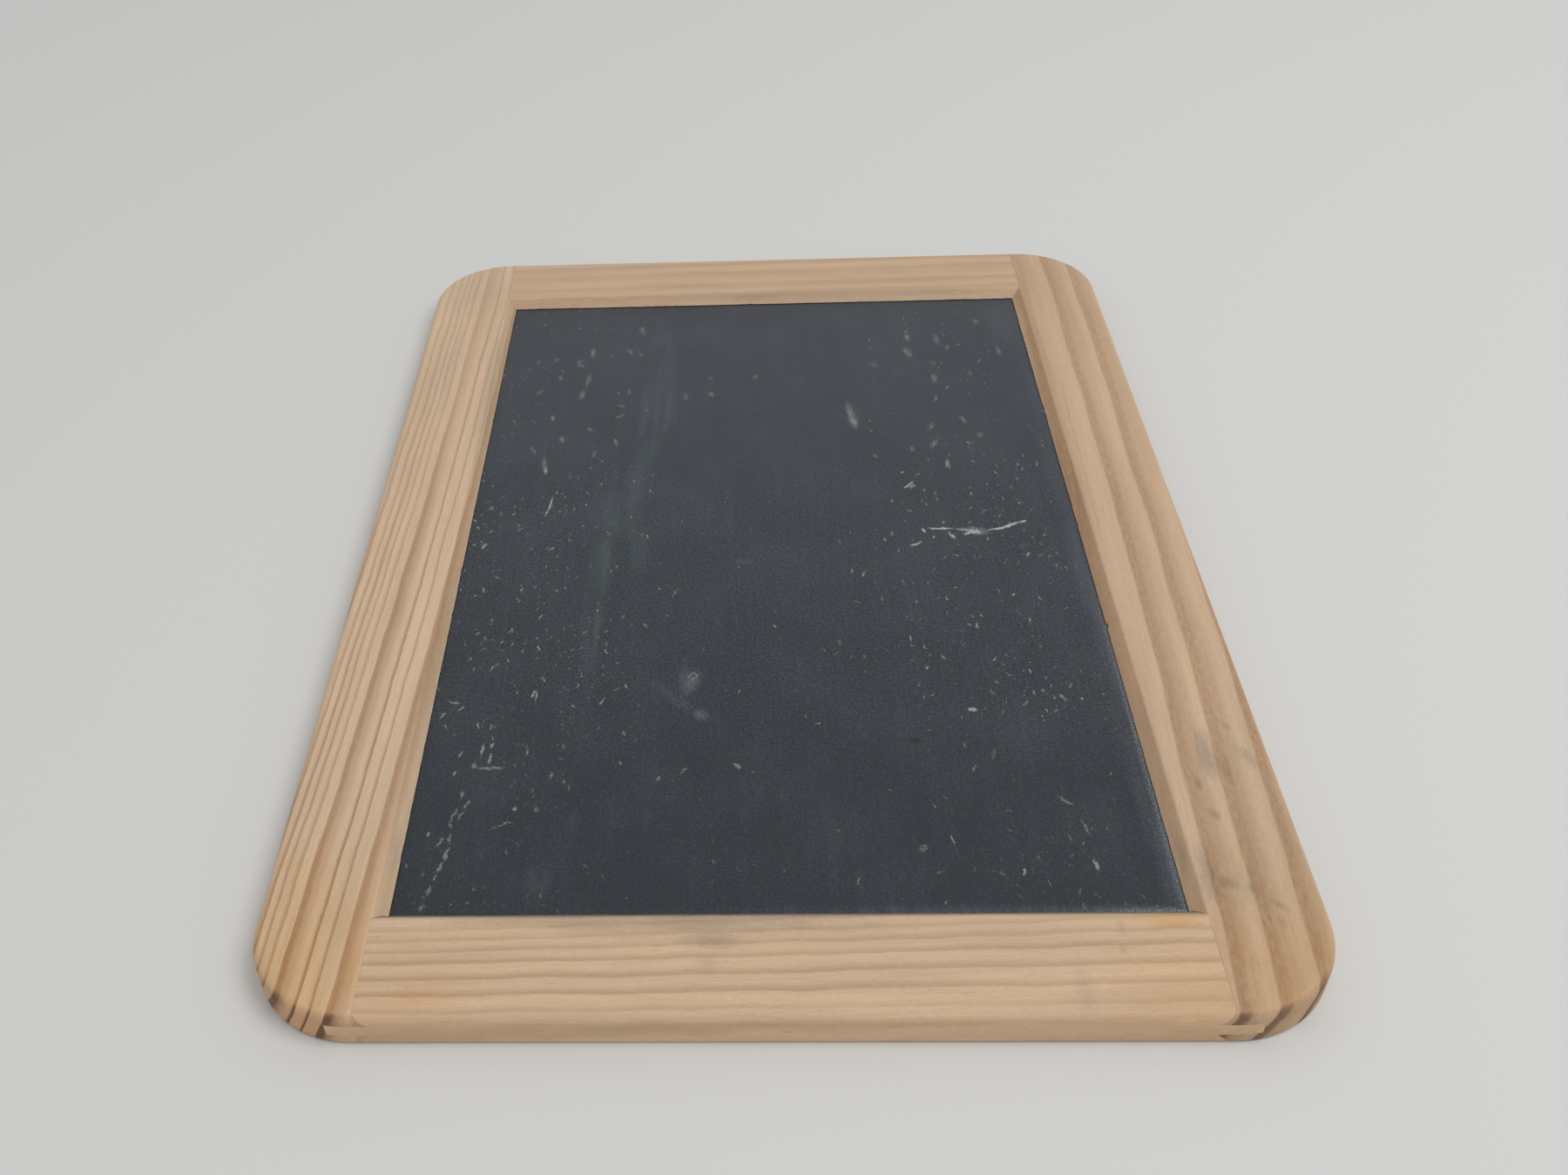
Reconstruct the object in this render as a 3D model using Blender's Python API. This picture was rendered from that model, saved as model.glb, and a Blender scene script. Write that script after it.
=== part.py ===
"""A school slate: a thin slab of natural slate in a grooved pine frame.

The board lies flat, with its origin at the middle of its underside.
X runs across the board, Y runs from the bottom rail to the top rail and Z is up.

Two stiles run the full length of the board. Both carry a groove along the inner edge, and both
inner arrises are bevelled, so the board is the same on its two faces. The rails have the same
moulding. Each rail end is coped over the stile's bevels, and the web behind the rail's own groove
is left as a stub tongue that sits in the stile's groove. The slab of slate lies in all four
grooves. The assembled frame is rounded at its corners and its outer arrises are eased, so the
rounding runs over the stile ends and shows the tongue in the edge of the board.
"""

import math

import bmesh
import bpy
from mathutils import Vector

# Driving sizes in metres
BOARD_WIDTH = 0.180
BOARD_LENGTH = 0.250
FRAME_THICKNESS = 0.0070
STILE_WIDTH = 0.0222
RAIL_WIDTH = 0.0222
GROOVE_DEPTH = 0.007
BEVEL_WIDTH = 0.0022
LIP_EDGE = 0.0001
CORNER_RADIUS = 0.019
ARRIS_RADIUS = 0.001
SLATE_THICKNESS = 0.0022
SLATE_CHAMFER = 0.0004

# Clearances in metres
SLATE_FACE_GAP = 0.0003
SLATE_EDGE_GAP = 0.0005
JOINT_GAP = 0.0003

# Facets of the round edges
CORNER_SEGMENTS = 16
ARRIS_SEGMENTS = 4
SHARP_ANGLE = math.radians(30)

# Sizes that follow from the driving ones
GROOVE_HEIGHT = SLATE_THICKNESS + 2 * SLATE_FACE_GAP
MID_HEIGHT = FRAME_THICKNESS / 2
STILE_WEB = STILE_WIDTH - GROOVE_DEPTH

# What the trimming takes off the outside of the moulded sticks
TRIM_WASTE = FRAME_THICKNESS / 4

# Finishes: colour, roughness and metallic
PINE = ((0.53, 0.40, 0.25, 1.0), 0.62, 0.0)
SLATE = ((0.045, 0.050, 0.055, 1.0), 0.80, 0.0)


def clear_scene():
    for item in list(bpy.data.objects):
        bpy.data.objects.remove(item, do_unlink=True)


def finish_material(name, finish):
    colour, roughness, metallic = finish
    material = bpy.data.materials.new(name)
    material.use_nodes = True
    shader = material.node_tree.nodes["Principled BSDF"]
    shader.inputs["Base Color"].default_value = colour
    shader.inputs["Roughness"].default_value = roughness
    shader.inputs["Metallic"].default_value = metallic
    return material


def add_object(name, shape, parent, location=(0, 0, 0), turn=0.0):
    """Make an object from a bmesh, turned about Z, and free the bmesh."""
    bmesh.ops.recalc_face_normals(shape, faces=shape.faces)
    mesh = bpy.data.meshes.new(name)
    shape.to_mesh(mesh)
    shape.free()
    item = bpy.data.objects.new(name, mesh)
    item.location = location
    item.rotation_euler.z = turn
    item.parent = parent
    bpy.context.collection.objects.link(item)
    return item


def hide_guide(item):
    item.hide_render = True
    item.display_type = "WIRE"
    return item


def cut(item, guide, operation):
    boolean = item.modifiers.new(guide.name, "BOOLEAN")
    boolean.operation = operation
    boolean.solver = "EXACT"
    boolean.object = guide


def moulding(width):
    """The section of a stick: X inwards from the outer edge, Z up from the middle.

    The outer edge and the two faces stand proud by the waste, and the bevels carry on up to them.
    """
    lip_height = GROOVE_HEIGHT / 2 + LIP_EDGE
    bevel_slope = BEVEL_WIDTH / (MID_HEIGHT - lip_height)
    top = MID_HEIGHT + TRIM_WASTE
    upper = [
        (width - GROOVE_DEPTH, GROOVE_HEIGHT / 2),
        (width, GROOVE_HEIGHT / 2),
        (width, lip_height),
        (width - bevel_slope * (top - lip_height), top),
        (-TRIM_WASTE, top),
    ]
    lower = [(x, -z) for x, z in reversed(upper)]
    return [Vector(point) for point in upper + lower]


def grown(outline, distance):
    """Move every side of an anticlockwise outline outwards by a distance."""
    points = []
    for index, point in enumerate(outline):
        before = (point - outline[index - 1]).normalized()
        after = (outline[(index + 1) % len(outline)] - point).normalized()
        normals = [Vector((side.y, -side.x)) for side in (before, after)]
        middle = normals[0] + normals[1]
        points.append(point + middle * distance / (1 + normals[0].dot(normals[1])))
    return points


def stick_shape(section, length):
    """A section run along Y, centred on the origin."""
    shape = bmesh.new()
    end = [shape.verts.new((point.x, -length / 2, point.y)) for point in section]
    face = shape.faces.new(end)
    run = bmesh.ops.extrude_face_region(shape, geom=[face])["geom"]
    moved = [element for element in run if isinstance(element, bmesh.types.BMVert)]
    bmesh.ops.translate(shape, verts=moved, vec=(0, length, 0))
    return shape


def board_blank(parent):
    """The outer form of the whole board, with round corners and eased arrises."""
    shape = bmesh.new()
    half = Vector((BOARD_WIDTH / 2, BOARD_LENGTH / 2))
    corners = [(-half.x, -half.y), (half.x, -half.y), (half.x, half.y), (-half.x, half.y)]
    shape.faces.new([shape.verts.new((x, y, 0)) for x, y in corners])
    bmesh.ops.bevel(shape, geom=list(shape.verts), affect="VERTICES", offset=CORNER_RADIUS,
                    segments=CORNER_SEGMENTS, profile=0.5, material=-1)
    run = bmesh.ops.extrude_face_region(shape, geom=list(shape.faces))["geom"]
    moved = [element for element in run if isinstance(element, bmesh.types.BMVert)]
    bmesh.ops.translate(shape, verts=moved, vec=(0, 0, FRAME_THICKNESS))
    rims = [edge for edge in shape.edges if edge.verts[0].co.z == edge.verts[1].co.z]
    bmesh.ops.bevel(shape, geom=rims, affect="EDGES", offset=ARRIS_RADIUS,
                    segments=ARRIS_SEGMENTS, profile=0.5, material=-1)
    return hide_guide(add_object("board_blank", shape, parent))


def stile(name, side, blank, parent):
    """A full-length stile: side is -1 on the left and 1 on the right."""
    shape = stick_shape(moulding(STILE_WIDTH), BOARD_LENGTH + 2 * TRIM_WASTE)
    turn = 0.0 if side < 0 else math.pi
    item = add_object(name, shape, parent, (side * BOARD_WIDTH / 2, 0, MID_HEIGHT), turn)
    cut(item, blank, "INTERSECT")
    return item


def cope_cutter(name, side, parent):
    """The stile's section grown by the joint gap, which cuts a rail end to fit over the stile."""
    section = grown(moulding(STILE_WIDTH), JOINT_GAP)
    shape = stick_shape(section, BOARD_LENGTH + 4 * TRIM_WASTE)
    turn = 0.0 if side < 0 else math.pi
    item = add_object(name, shape, parent, (side * BOARD_WIDTH / 2, 0, MID_HEIGHT), turn)
    return hide_guide(item)


def rail(name, side, copes, blank, parent):
    """A rail with a tongue at each end: side is -1 at the bottom and 1 at the top."""
    shape = stick_shape(moulding(RAIL_WIDTH), BOARD_WIDTH - STILE_WEB)
    turn = -side * math.pi / 2
    item = add_object(name, shape, parent, (0, side * BOARD_LENGTH / 2, MID_HEIGHT), turn)
    for cope in copes:
        cut(item, cope, "DIFFERENCE")
    cut(item, blank, "INTERSECT")
    return item


def slate_panel(name, parent):
    """The slab, which reaches into the groove of all four sticks."""
    edge = GROOVE_DEPTH - SLATE_EDGE_GAP
    width = BOARD_WIDTH - 2 * (STILE_WIDTH - edge)
    length = BOARD_LENGTH - 2 * (RAIL_WIDTH - edge)
    shape = bmesh.new()
    bmesh.ops.create_cube(shape, size=1.0)
    bmesh.ops.scale(shape, verts=shape.verts, vec=(width, length, SLATE_THICKNESS))
    bmesh.ops.bevel(shape, geom=list(shape.edges), affect="EDGES", offset=SLATE_CHAMFER,
                    segments=1, profile=0.5, material=-1)
    return add_object(name, shape, parent, (0, 0, MID_HEIGHT))


def shade(item, material):
    item.data.materials.append(material)
    item.data.shade_smooth()
    item.data.set_sharp_from_angle(angle=SHARP_ANGLE)


def main():
    clear_scene()
    root = bpy.data.objects.new("school_slate", None)
    bpy.context.collection.objects.link(root)

    blank = board_blank(root)
    copes = [cope_cutter("left_cope", -1, root), cope_cutter("right_cope", 1, root)]
    frame = [
        stile("left_stile", -1, blank, root),
        stile("right_stile", 1, blank, root),
        rail("bottom_rail", -1, copes, blank, root),
        rail("top_rail", 1, copes, blank, root),
    ]
    for item in frame:
        shade(item, finish_material(item.name + "_pine", PINE))
    panel = slate_panel("slate_panel", root)
    shade(panel, finish_material("slate_panel_slate", SLATE))


main()
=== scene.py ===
"""A school slate, dressed: a bare pine frame round a slab of natural slate, chalked and wiped.

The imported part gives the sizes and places. X runs across the board, Y runs along the stiles from
the bottom rail to the top rail, and Z is up out of the writing face. Lengths are metres, and the
grain and chalk tables are in millimetres, because their marks are a few millimetres long.
"""

import math
from typing import NamedTuple

import bmesh
import bpy
from bpy.props import FloatProperty, FloatVectorProperty, IntProperty, PointerProperty
from mathutils import Matrix, Vector, noise


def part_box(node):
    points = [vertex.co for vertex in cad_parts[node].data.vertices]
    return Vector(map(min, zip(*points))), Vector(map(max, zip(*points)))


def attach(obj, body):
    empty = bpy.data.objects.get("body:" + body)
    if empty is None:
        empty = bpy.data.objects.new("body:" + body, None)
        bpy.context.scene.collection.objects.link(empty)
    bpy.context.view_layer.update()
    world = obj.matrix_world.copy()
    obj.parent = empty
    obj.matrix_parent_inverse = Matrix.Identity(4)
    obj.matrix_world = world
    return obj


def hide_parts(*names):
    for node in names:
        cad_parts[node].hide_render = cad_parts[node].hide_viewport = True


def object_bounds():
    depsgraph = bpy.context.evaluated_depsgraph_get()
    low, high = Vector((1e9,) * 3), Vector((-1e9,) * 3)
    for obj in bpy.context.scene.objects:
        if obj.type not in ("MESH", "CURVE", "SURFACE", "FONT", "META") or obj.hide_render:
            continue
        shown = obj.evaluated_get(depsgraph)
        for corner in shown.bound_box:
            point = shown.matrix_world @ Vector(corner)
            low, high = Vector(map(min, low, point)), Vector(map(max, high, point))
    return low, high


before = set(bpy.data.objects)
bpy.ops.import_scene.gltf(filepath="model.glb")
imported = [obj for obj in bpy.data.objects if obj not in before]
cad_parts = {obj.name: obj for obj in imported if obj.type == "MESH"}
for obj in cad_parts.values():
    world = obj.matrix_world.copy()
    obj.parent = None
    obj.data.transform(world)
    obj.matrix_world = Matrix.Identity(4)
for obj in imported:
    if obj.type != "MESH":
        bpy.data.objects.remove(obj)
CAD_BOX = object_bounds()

bl_info = {
    "name": "School Slate",
    "version": (1, 0, 0),
    "blender": (4, 5, 0),
    "location": "View3D > Sidebar > School Slate",
    "description": "Builds the pine frame, the slate slab and the stage of a small writing slate",
    "category": "Object",
}

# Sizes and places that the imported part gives
BOARD_LOW, BOARD_HIGH = CAD_BOX
BOARD_SIZE = BOARD_HIGH - BOARD_LOW
BOARD_MIDDLE = (BOARD_LOW + BOARD_HIGH) / 2
STILE_LOW, STILE_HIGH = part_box("left_stile")
STILE_WIDTH = STILE_HIGH.x - STILE_LOW.x
RAIL_LOW, RAIL_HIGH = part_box("bottom_rail")
RAIL_WIDTH = RAIL_HIGH.y - RAIL_LOW.y
SLAB_LOW, SLAB_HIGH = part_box("slate_panel")
SLAB_SIZE = SLAB_HIGH - SLAB_LOW
HALF_THICKNESS = BOARD_SIZE.z / 2

MILLIMETRE = 0.001
PER_MILLIMETRE = 1000.0

# How the pieces are cut and softened
TRIM_WASTE = 2 * MILLIMETRE
BLANK_SKIM = 0.004 * MILLIMETRE
SHARP_ANGLE = math.radians(30)
INNER_SEGMENTS = 3
LIP_SEGMENTS = 2

# How the lips are torn: the share of a bevel's width that tears reach over, the step in the noise
# between the two faces, and fine and coarse tears as cycles per millimetre, share and noise layer
TORN_SHARE = 0.7
FACE_STEP = 7.0
TEARS = ((0.55, 0.65, 0.0), (0.13, 0.5, 9.0))

# The slow waves of the split stone: cycles per metre and share
STONE_WAVES = ((22, 1.0), (60, 0.5))

# The camera's place, its turns in degrees and its lens, and how far the floor lies under the board
CAMERA_PLACE = (-0.0057783, -0.2622228, 0.2126437)
CAMERA_TURNS = ((3.24389, "Z"), (49.77341, "X"), (-2.94341, "Z"))
SENSOR_WIDTH = 36.0
LENS_LENGTH = 34.519
LENS_SHIFT = 0.0660
NEAR_CLIP = 0.01
FLOOR_GAP = 0.03 * MILLIMETRE


class Grain(NamedTuple):
    """How the growth rings run through one stick, in millimetres.

    A ring is (place, body, fade, depth): it is dark from its place over its body, and fades over
    the fade's length beyond. Body and fade run inwards where they are positive and outwards where
    they are negative. The other side of a ring is as soft as edge. Places are counted across the
    writing face at mid-length. Over half the stick's length the rings shift by slope and bow, fan
    makes the slope grow across the width, and lean is their shift for each millimetre of depth.
    Ripple is how far the rings waver, and ripple_length is how slowly. Contrast is how strong they
    are at the stick's two ends, and mottle is how much they break up into dots. A streak is a thin
    resin line: (place, half width, start, end, strength).
    """

    rings: tuple
    edge: float
    slope: float
    lean: float
    ripple: float
    ripple_length: float
    seed: float
    contrast: tuple
    mottle: float
    bow: float = 0.0
    fan: float = 0.0
    streaks: tuple = ()


class Tints(NamedTuple):
    """What one stick's wood is multiplied by: all over, on its bevels, cut ends and outer edge.

    Soil and resin are soft patches as (along, across, half length, half width, turn in degrees,
    strength), in millimetres. The bevel's and the outer edge's tints come in between two places
    across the stick. The bevel's tint is partly painted shade and partly dust.
    """

    wood: tuple
    bevel: tuple
    end: tuple
    outer: tuple
    soil: tuple
    resin: tuple
    bevel_span: tuple = (19.8, 20.3)
    outer_span: tuple = (2.5, 0.5)


class Stick(NamedTuple):
    """One stick of the frame: its piece, the node it stands for, its side of the board, its wood.

    It lies along its axis. Inward is the sense that leads from its outer edge into the board, and
    turn is the angle that brings it to its side. Wear is how far the lip is worn back all along
    and how much rougher than usual its tears are. A nick is (place along the stick before it is
    turned, half length, depth).
    """

    name: str
    node: str
    axis: str
    inward: int
    turn: float
    grain: Grain
    tints: Tints
    wear: tuple = (0.0, 1.0)
    nicks: tuple = ()


class Figure(NamedTuple):
    """A noise in the wood: cycles per millimetre along, across and down, detail and roughness."""

    along: float
    across: float
    down: float
    detail: float
    roughness: float = 0.5


class Mark(NamedTuple):
    """A chalk mark or a wiped film on the slate, in millimetres from the middle of the board.

    Turn is counted anticlockwise from upright, in degrees. Bow is how much the stroke bends, and
    hollow is how much its middle is missing.
    """

    x: float
    y: float
    half_length: float
    half_width: float
    turn: float
    strength: float
    bow: float = 0.0
    hollow: float = 0.0


class Flecks(NamedTuple):
    """Scattered flecks of one size, in millimetres: a cell of their pattern holds one at most.

    Share is how readily a cell is filled, and step sets this pattern apart from the others.
    """

    cell: float
    half_length: float
    half_width: float
    share: float
    strength: float
    step: tuple


LEFT_GRAIN = Grain(
    rings=((1.5, 0.0, -0.9, 0.75), (3.6, 0.0, -0.9, 0.70), (5.25, 0.0, -0.8, 0.80),
           (6.75, 0.0, -0.6, 0.70), (8.65, 0.0, -0.9, 0.60), (10.7, 0.6, 2.6, 0.85),
           (15.05, 0.0, -0.8, 0.95), (17.65, 0.0, -0.7, 0.75), (20.4, 0.6, 3.6, 0.80)),
    edge=0.25, slope=3.35, bow=-1.1, lean=-0.44, ripple=0.34, ripple_length=22.0, seed=3.1,
    contrast=(1.3, 0.52), mottle=0.35,
)
RIGHT_GRAIN = Grain(
    rings=((-0.15, -1.0, -3.2, 0.74), (7.1, -1.0, -4.2, 0.74), (13.6, -1.0, -4.4, 0.74),
           (21.8, -1.0, -5.4, 0.60)),
    edge=0.6, slope=-3.7, bow=1.9, lean=0.6, ripple=0.45, ripple_length=30.0, seed=11.7,
    contrast=(1.0, 0.75), mottle=0.9,
    streaks=((18.45, 0.16, -8.0, 62.0, 0.55), (6.0, 0.12, -45.0, 25.0, 0.3),
             (20.8, 0.16, -48.0, 34.0, 0.5), (21.5, 0.14, -20.0, 40.0, 0.4)),
)
BOTTOM_GRAIN = Grain(
    rings=((-1.9, 0.0, 0.9, 0.26), (-0.6, 0.0, 0.9, 0.30), (2.0, 0.0, 1.2, 0.34),
           (5.35, 0.0, 1.6, 0.60), (8.75, 0.0, 1.7, 0.62), (12.1, 0.0, 1.3, 0.60),
           (14.6, 0.0, 1.3, 0.48), (16.9, 0.0, 1.3, 0.36), (19.2, 0.0, 1.5, 0.32)),
    edge=0.4, slope=2.4, fan=0.13, lean=0.22, ripple=0.32, ripple_length=12.0, seed=23.9,
    contrast=(0.98, 0.74), mottle=0.5,
)
TOP_GRAIN = Grain(
    rings=((2.6, 0.4, 1.8, 0.32), (7.7, 0.5, 2.4, 0.34), (14.7, 0.5, 2.4, 0.34),
           (19.6, 0.5, 2.0, 0.32)),
    edge=1.2, slope=-1.9, lean=0.3, ripple=0.35, ripple_length=22.0, seed=37.3,
    contrast=(0.6, 0.95), mottle=0.5,
)

# Each stick's bevel tint is partly painted shade and partly dust; the bottom rail's dark bevel carries
# the most painted shade
LEFT_TINTS = Tints(
    wood=(1.09, 1.11, 1.125), bevel=(0.85, 0.845, 0.83),
    end=(0.895, 0.835, 0.85), outer=(0.97, 0.96, 0.95),
    soil=((62.0, 19.8, 36.0, 2.2, 0.0, 0.40), (-90.0, 21.2, 7.0, 0.9, 0.0, 0.35),
          (70.0, 8.0, 30.0, 7.0, 0.0, 0.15), (110.0, 8.0, 18.0, 12.0, 0.0, 0.2)),
    resin=((-116.0, 18.6, 14.0, 3.4, 0.0, 0.75), (-122.0, 8.0, 42.0, 20.0, 0.0, 0.7)),
)
RIGHT_TINTS = Tints(
    wood=(0.995, 0.99, 0.98), bevel=(0.97, 0.92, 0.89),
    end=(0.84, 0.85, 0.92), outer=(1.0, 0.99, 0.98),
    soil=((-69.5, 11.2, 9.5, 2.6, 0.0, 0.8), (-76.2, 14.8, 2.4, 1.0, 0.0, 0.75),
          (-83.7, 13.6, 2.4, 1.5, 30.0, 0.75), (-62.0, 6.2, 1.6, 1.0, 0.0, 0.55),
          (-70.0, 4.3, 4.8, 1.9, 20.0, 0.55), (-73.5, 8.9, 6.0, 1.5, 0.0, 0.6),
          (-103.5, 7.8, 3.4, 1.2, 48.0, 0.7), (-107.0, 8.4, 2.2, 1.3, 0.0, 0.55),
          (-100.0, 11.4, 2.2, 1.4, 20.0, 0.85), (-98.8, 14.7, 3.4, 2.2, 40.0, 0.8),
          (-97.0, 18.0, 8.0, 2.4, 0.0, 0.75), (-92.0, 21.0, 7.0, 1.1, 0.0, 0.45),
          (-100.0, 12.0, 9.0, 6.5, 0.0, 0.4), (-98.0, 8.0, 44.0, 16.0, 0.0, 0.25)),
    resin=((-114.0, 16.6, 8.0, 2.4, 0.0, 0.6), (-122.0, 8.0, 38.0, 20.0, 0.0, 0.6)),
)
BOTTOM_TINTS = Tints(
    wood=(1.06, 1.06, 1.055), bevel=(0.38, 0.40, 0.43), bevel_span=(19.2, 20.6),
    end=(0.93, 0.86, 0.80), outer=(0.985, 0.965, 0.94), outer_span=(6.5, 1.0),
    soil=((-14.0, 18.4, 38.0, 2.9, 0.0, 0.62), (-12.0, 15.0, 7.5, 2.6, 0.0, 0.65),
          (-13.0, 10.5, 2.6, 3.4, 0.0, 0.3), (-37.0, 19.2, 27.0, 2.4, 0.0, 0.6),
          (47.0, 5.5, 2.4, 6.0, 0.0, 0.3), (54.7, 12.7, 0.8, 1.0, 0.0, 0.4),
          (55.4, 17.4, 1.0, 1.9, 0.0, 0.4)),
    resin=((64.0, 18.4, 8.0, 2.4, 0.0, 0.9), (58.0, 18.8, 1.2, 0.7, 0.0, 0.7),
           (-60.0, 4.2, 9.0, 2.8, 0.0, 0.55),
           (-48.0, 15.6, 6.0, 0.9, 0.0, 0.4), (-68.0, 7.0, 24.0, 14.0, 0.0, 0.2),
           (68.0, 6.0, 22.0, 12.0, 0.0, 0.4)),
)
TOP_TINTS = Tints(
    wood=(0.975, 0.965, 0.945), bevel=(0.97, 0.985, 1.02),
    end=(0.90, 0.83, 0.77), outer=(1.06, 1.05, 1.04),
    soil=((0.0, 20.8, 12.0, 1.4, 0.0, 0.15), (45.0, 20.2, 14.0, 1.6, 0.0, 0.25),
          (-20.0, 14.5, 18.0, 2.2, 0.0, 0.2)),
    resin=((-45.0, 20.5, 22.0, 1.6, 0.0, 0.3), (60.0, 20.6, 8.0, 1.6, 0.0, 0.4)),
)

STILES = (
    Stick("left_stile_wood", "left_stile", "Y", 1, 0.0, LEFT_GRAIN, LEFT_TINTS),
    Stick("right_stile_wood", "right_stile", "Y", -1, math.pi, RIGHT_GRAIN, RIGHT_TINTS,
          nicks=((0.031, 0.0009, 0.00045),)),
)
RAILS = (
    Stick("bottom_rail_wood", "bottom_rail", "X", 1, math.pi / 2, BOTTOM_GRAIN, BOTTOM_TINTS,
          wear=(0.0003, 1.0)),
    Stick("top_rail_wood", "top_rail", "X", -1, -math.pi / 2, TOP_GRAIN, TOP_TINTS,
          wear=(0.0, 2.2)),
)

# The middle of a noise, which runs from about 0.25 to 0.75
NOISE_MEAN = 0.5

# The pine's figure, and the dust in its surface: broad patches, by their share, and specks
FIBRES = Figure(0.07, 2.6, 2.6, 4.0, 0.65)
PORES = Figure(0.9, 5.0, 5.0, 2.0, 0.6)
DASHES = Figure(0.30, 3.4, 1.5, 0.0)
DOTS = Figure(0.45, 1.7, 1.7, 3.0, 0.65)
BROAD_TONE = Figure(0.014, 0.22, 0.2, 2.0)
DUST = Figure(0.10, 0.28, 0.0, 3.0, 0.6)
DUST_SPECKS = Figure(0.55, 1.3, 0.0, 4.0, 0.65)
DUST_SHARE = 0.55

# How the rings waver, the run over which a resin line tapers off, in millimetres, and how ragged a
# soft patch is and how far it reaches, as shares of its size
RIPPLE_PITCH, RIPPLE_DETAIL, RIPPLE_GAIN = 0.09, 3.0, 4
STREAK_TAPER = 9.0
PATCH_RAGGED = 1.8
PATCH_REACH = 1.15

# How far a face is turned to the stick's end where its end grain starts to show, and shows fully
END_FACING = (0.22, 0.75)

# Relief: how much the rings and the wiping add to it, and its strength and depth in millimetres.
# Specular is how much light each finish throws back
RING_RELIEF, WIPE_RELIEF = 0.35, 0.5
PINE_BUMP, SLATE_BUMP = (0.35, 0.06), (0.3, 0.04)
PINE_SPECULAR, SLATE_SPECULAR = 0.3, 0.5

# Noises of the slate: cycles per millimetre, detail and roughness
TOOTH = (1.9, 4.0, 0.74)
MOTTLE = (0.045, 4.0, 0.6)
CRUMBS = (2.5, 4.0, 0.7)
FLECK_PATCHES = (0.07, 2.0, 0.5)
WANDER_NOISE = (0.9, 5.0, 0.62)

# How far the outlines of marks wander, in millimetres, and how chalk catches on the crumbs of the
# stone: the weight of both, where a mark is whole, and how much faint chalk falls off
WANDER = 1.5
CRUMB_WEIGHT, CHALK_WEIGHT = 3.4, 1.15
CAUGHT_WHOLE = 0.75
CHALK_POWER = 1.35

# Upright streaks on the slate: cycles per millimetre across and along, noise layer and detail
WIPING = (0.40, 0.03, 3.0, 4.0)
FINE_WIPING = (2.2, 0.5, 7.0, 3.0)
FLECK_CHAINS = (0.30, 0.025, 5.0, 2.0)
STREAK_ROUGHNESS = 0.6

# Spans of the slate, as two places in millimetres and what holds at each of them
# The film's rise towards the top rail is partly chalk film and partly painted reflection
FILM_AND_REFLECTION_RISE = (-104.0, 100.0, -0.06, 0.60)
RUBBED_FAR = (45.0, 5.0, 0.75, 1.7)
RUBBED_NEAR = (-75.0, -40.0, 0.5, 1.0)
FLECKS_ASIDE = (12.0, 48.0, 0.34, 1.0)
FLECKS_FAR = (50.0, 9.0, 0.5, 1.0)
FLECKS_NEAR = (-50.0, -85.0, 1.0, 0.62)

# Dust pushed against the lips and heaped there: a span across the board and a span along it
RIGHT_DUST = ((63.0, 67.7, 0.0, 0.9), (70.0, -20.0, 0.3, 1.0))
BOTTOM_DUST = ((-30.0, 55.0, 0.1, 1.0), (-100.6, -102.8, 0.0, 1.0))
RIGHT_HEAP = ((65.8, 67.7, 0.0, 0.36), (5.0, -45.0, 0.0, 1.0))
CORNER_HEAP = ((40.0, 64.0, 0.0, 1.0), (-101.0, -102.8, 0.0, 0.40))

# The back shows less chalk, and other parts of the noises
BACK_CHALK = 0.4
BACK_STEP = (211.0, 97.0)

# The mean of the tooth's light, the strength of green chalk, the share of a chalk mark that is at
# full strength, and where the hole of a hollow mark begins and is complete, as shares of its size
GRIT_MEAN = 0.07
GREEN_STRENGTH = 0.9
MARK_CORE = 0.3
HOLE_RIM = (0.75, 0.35)

# Flecks of chalk from the finest up, how far they turn, in radians, and bow, the spans of their
# scale and light, their core, and how softly they thin out
FLECK_SIZES = (
    Flecks(1.6, 0.36, 0.18, 0.95, 0.48, (23.0, 71.0, 0.0)),
    Flecks(2.5, 0.95, 0.22, 1.05, 0.64, (0.0, 0.0, 0.0)),
    Flecks(7.0, 1.5, 0.38, 0.75, 0.56, (57.0, 31.0, 0.0)),
)
FLECK_TURN, FLECK_BOW = 0.9, 0.8
FLECK_SCALES, FLECK_LIGHT = (0.45, 1.25), (0.25, 1.0)
FLECK_CORE, FLECK_FADE = 0.3, 0.25

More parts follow.
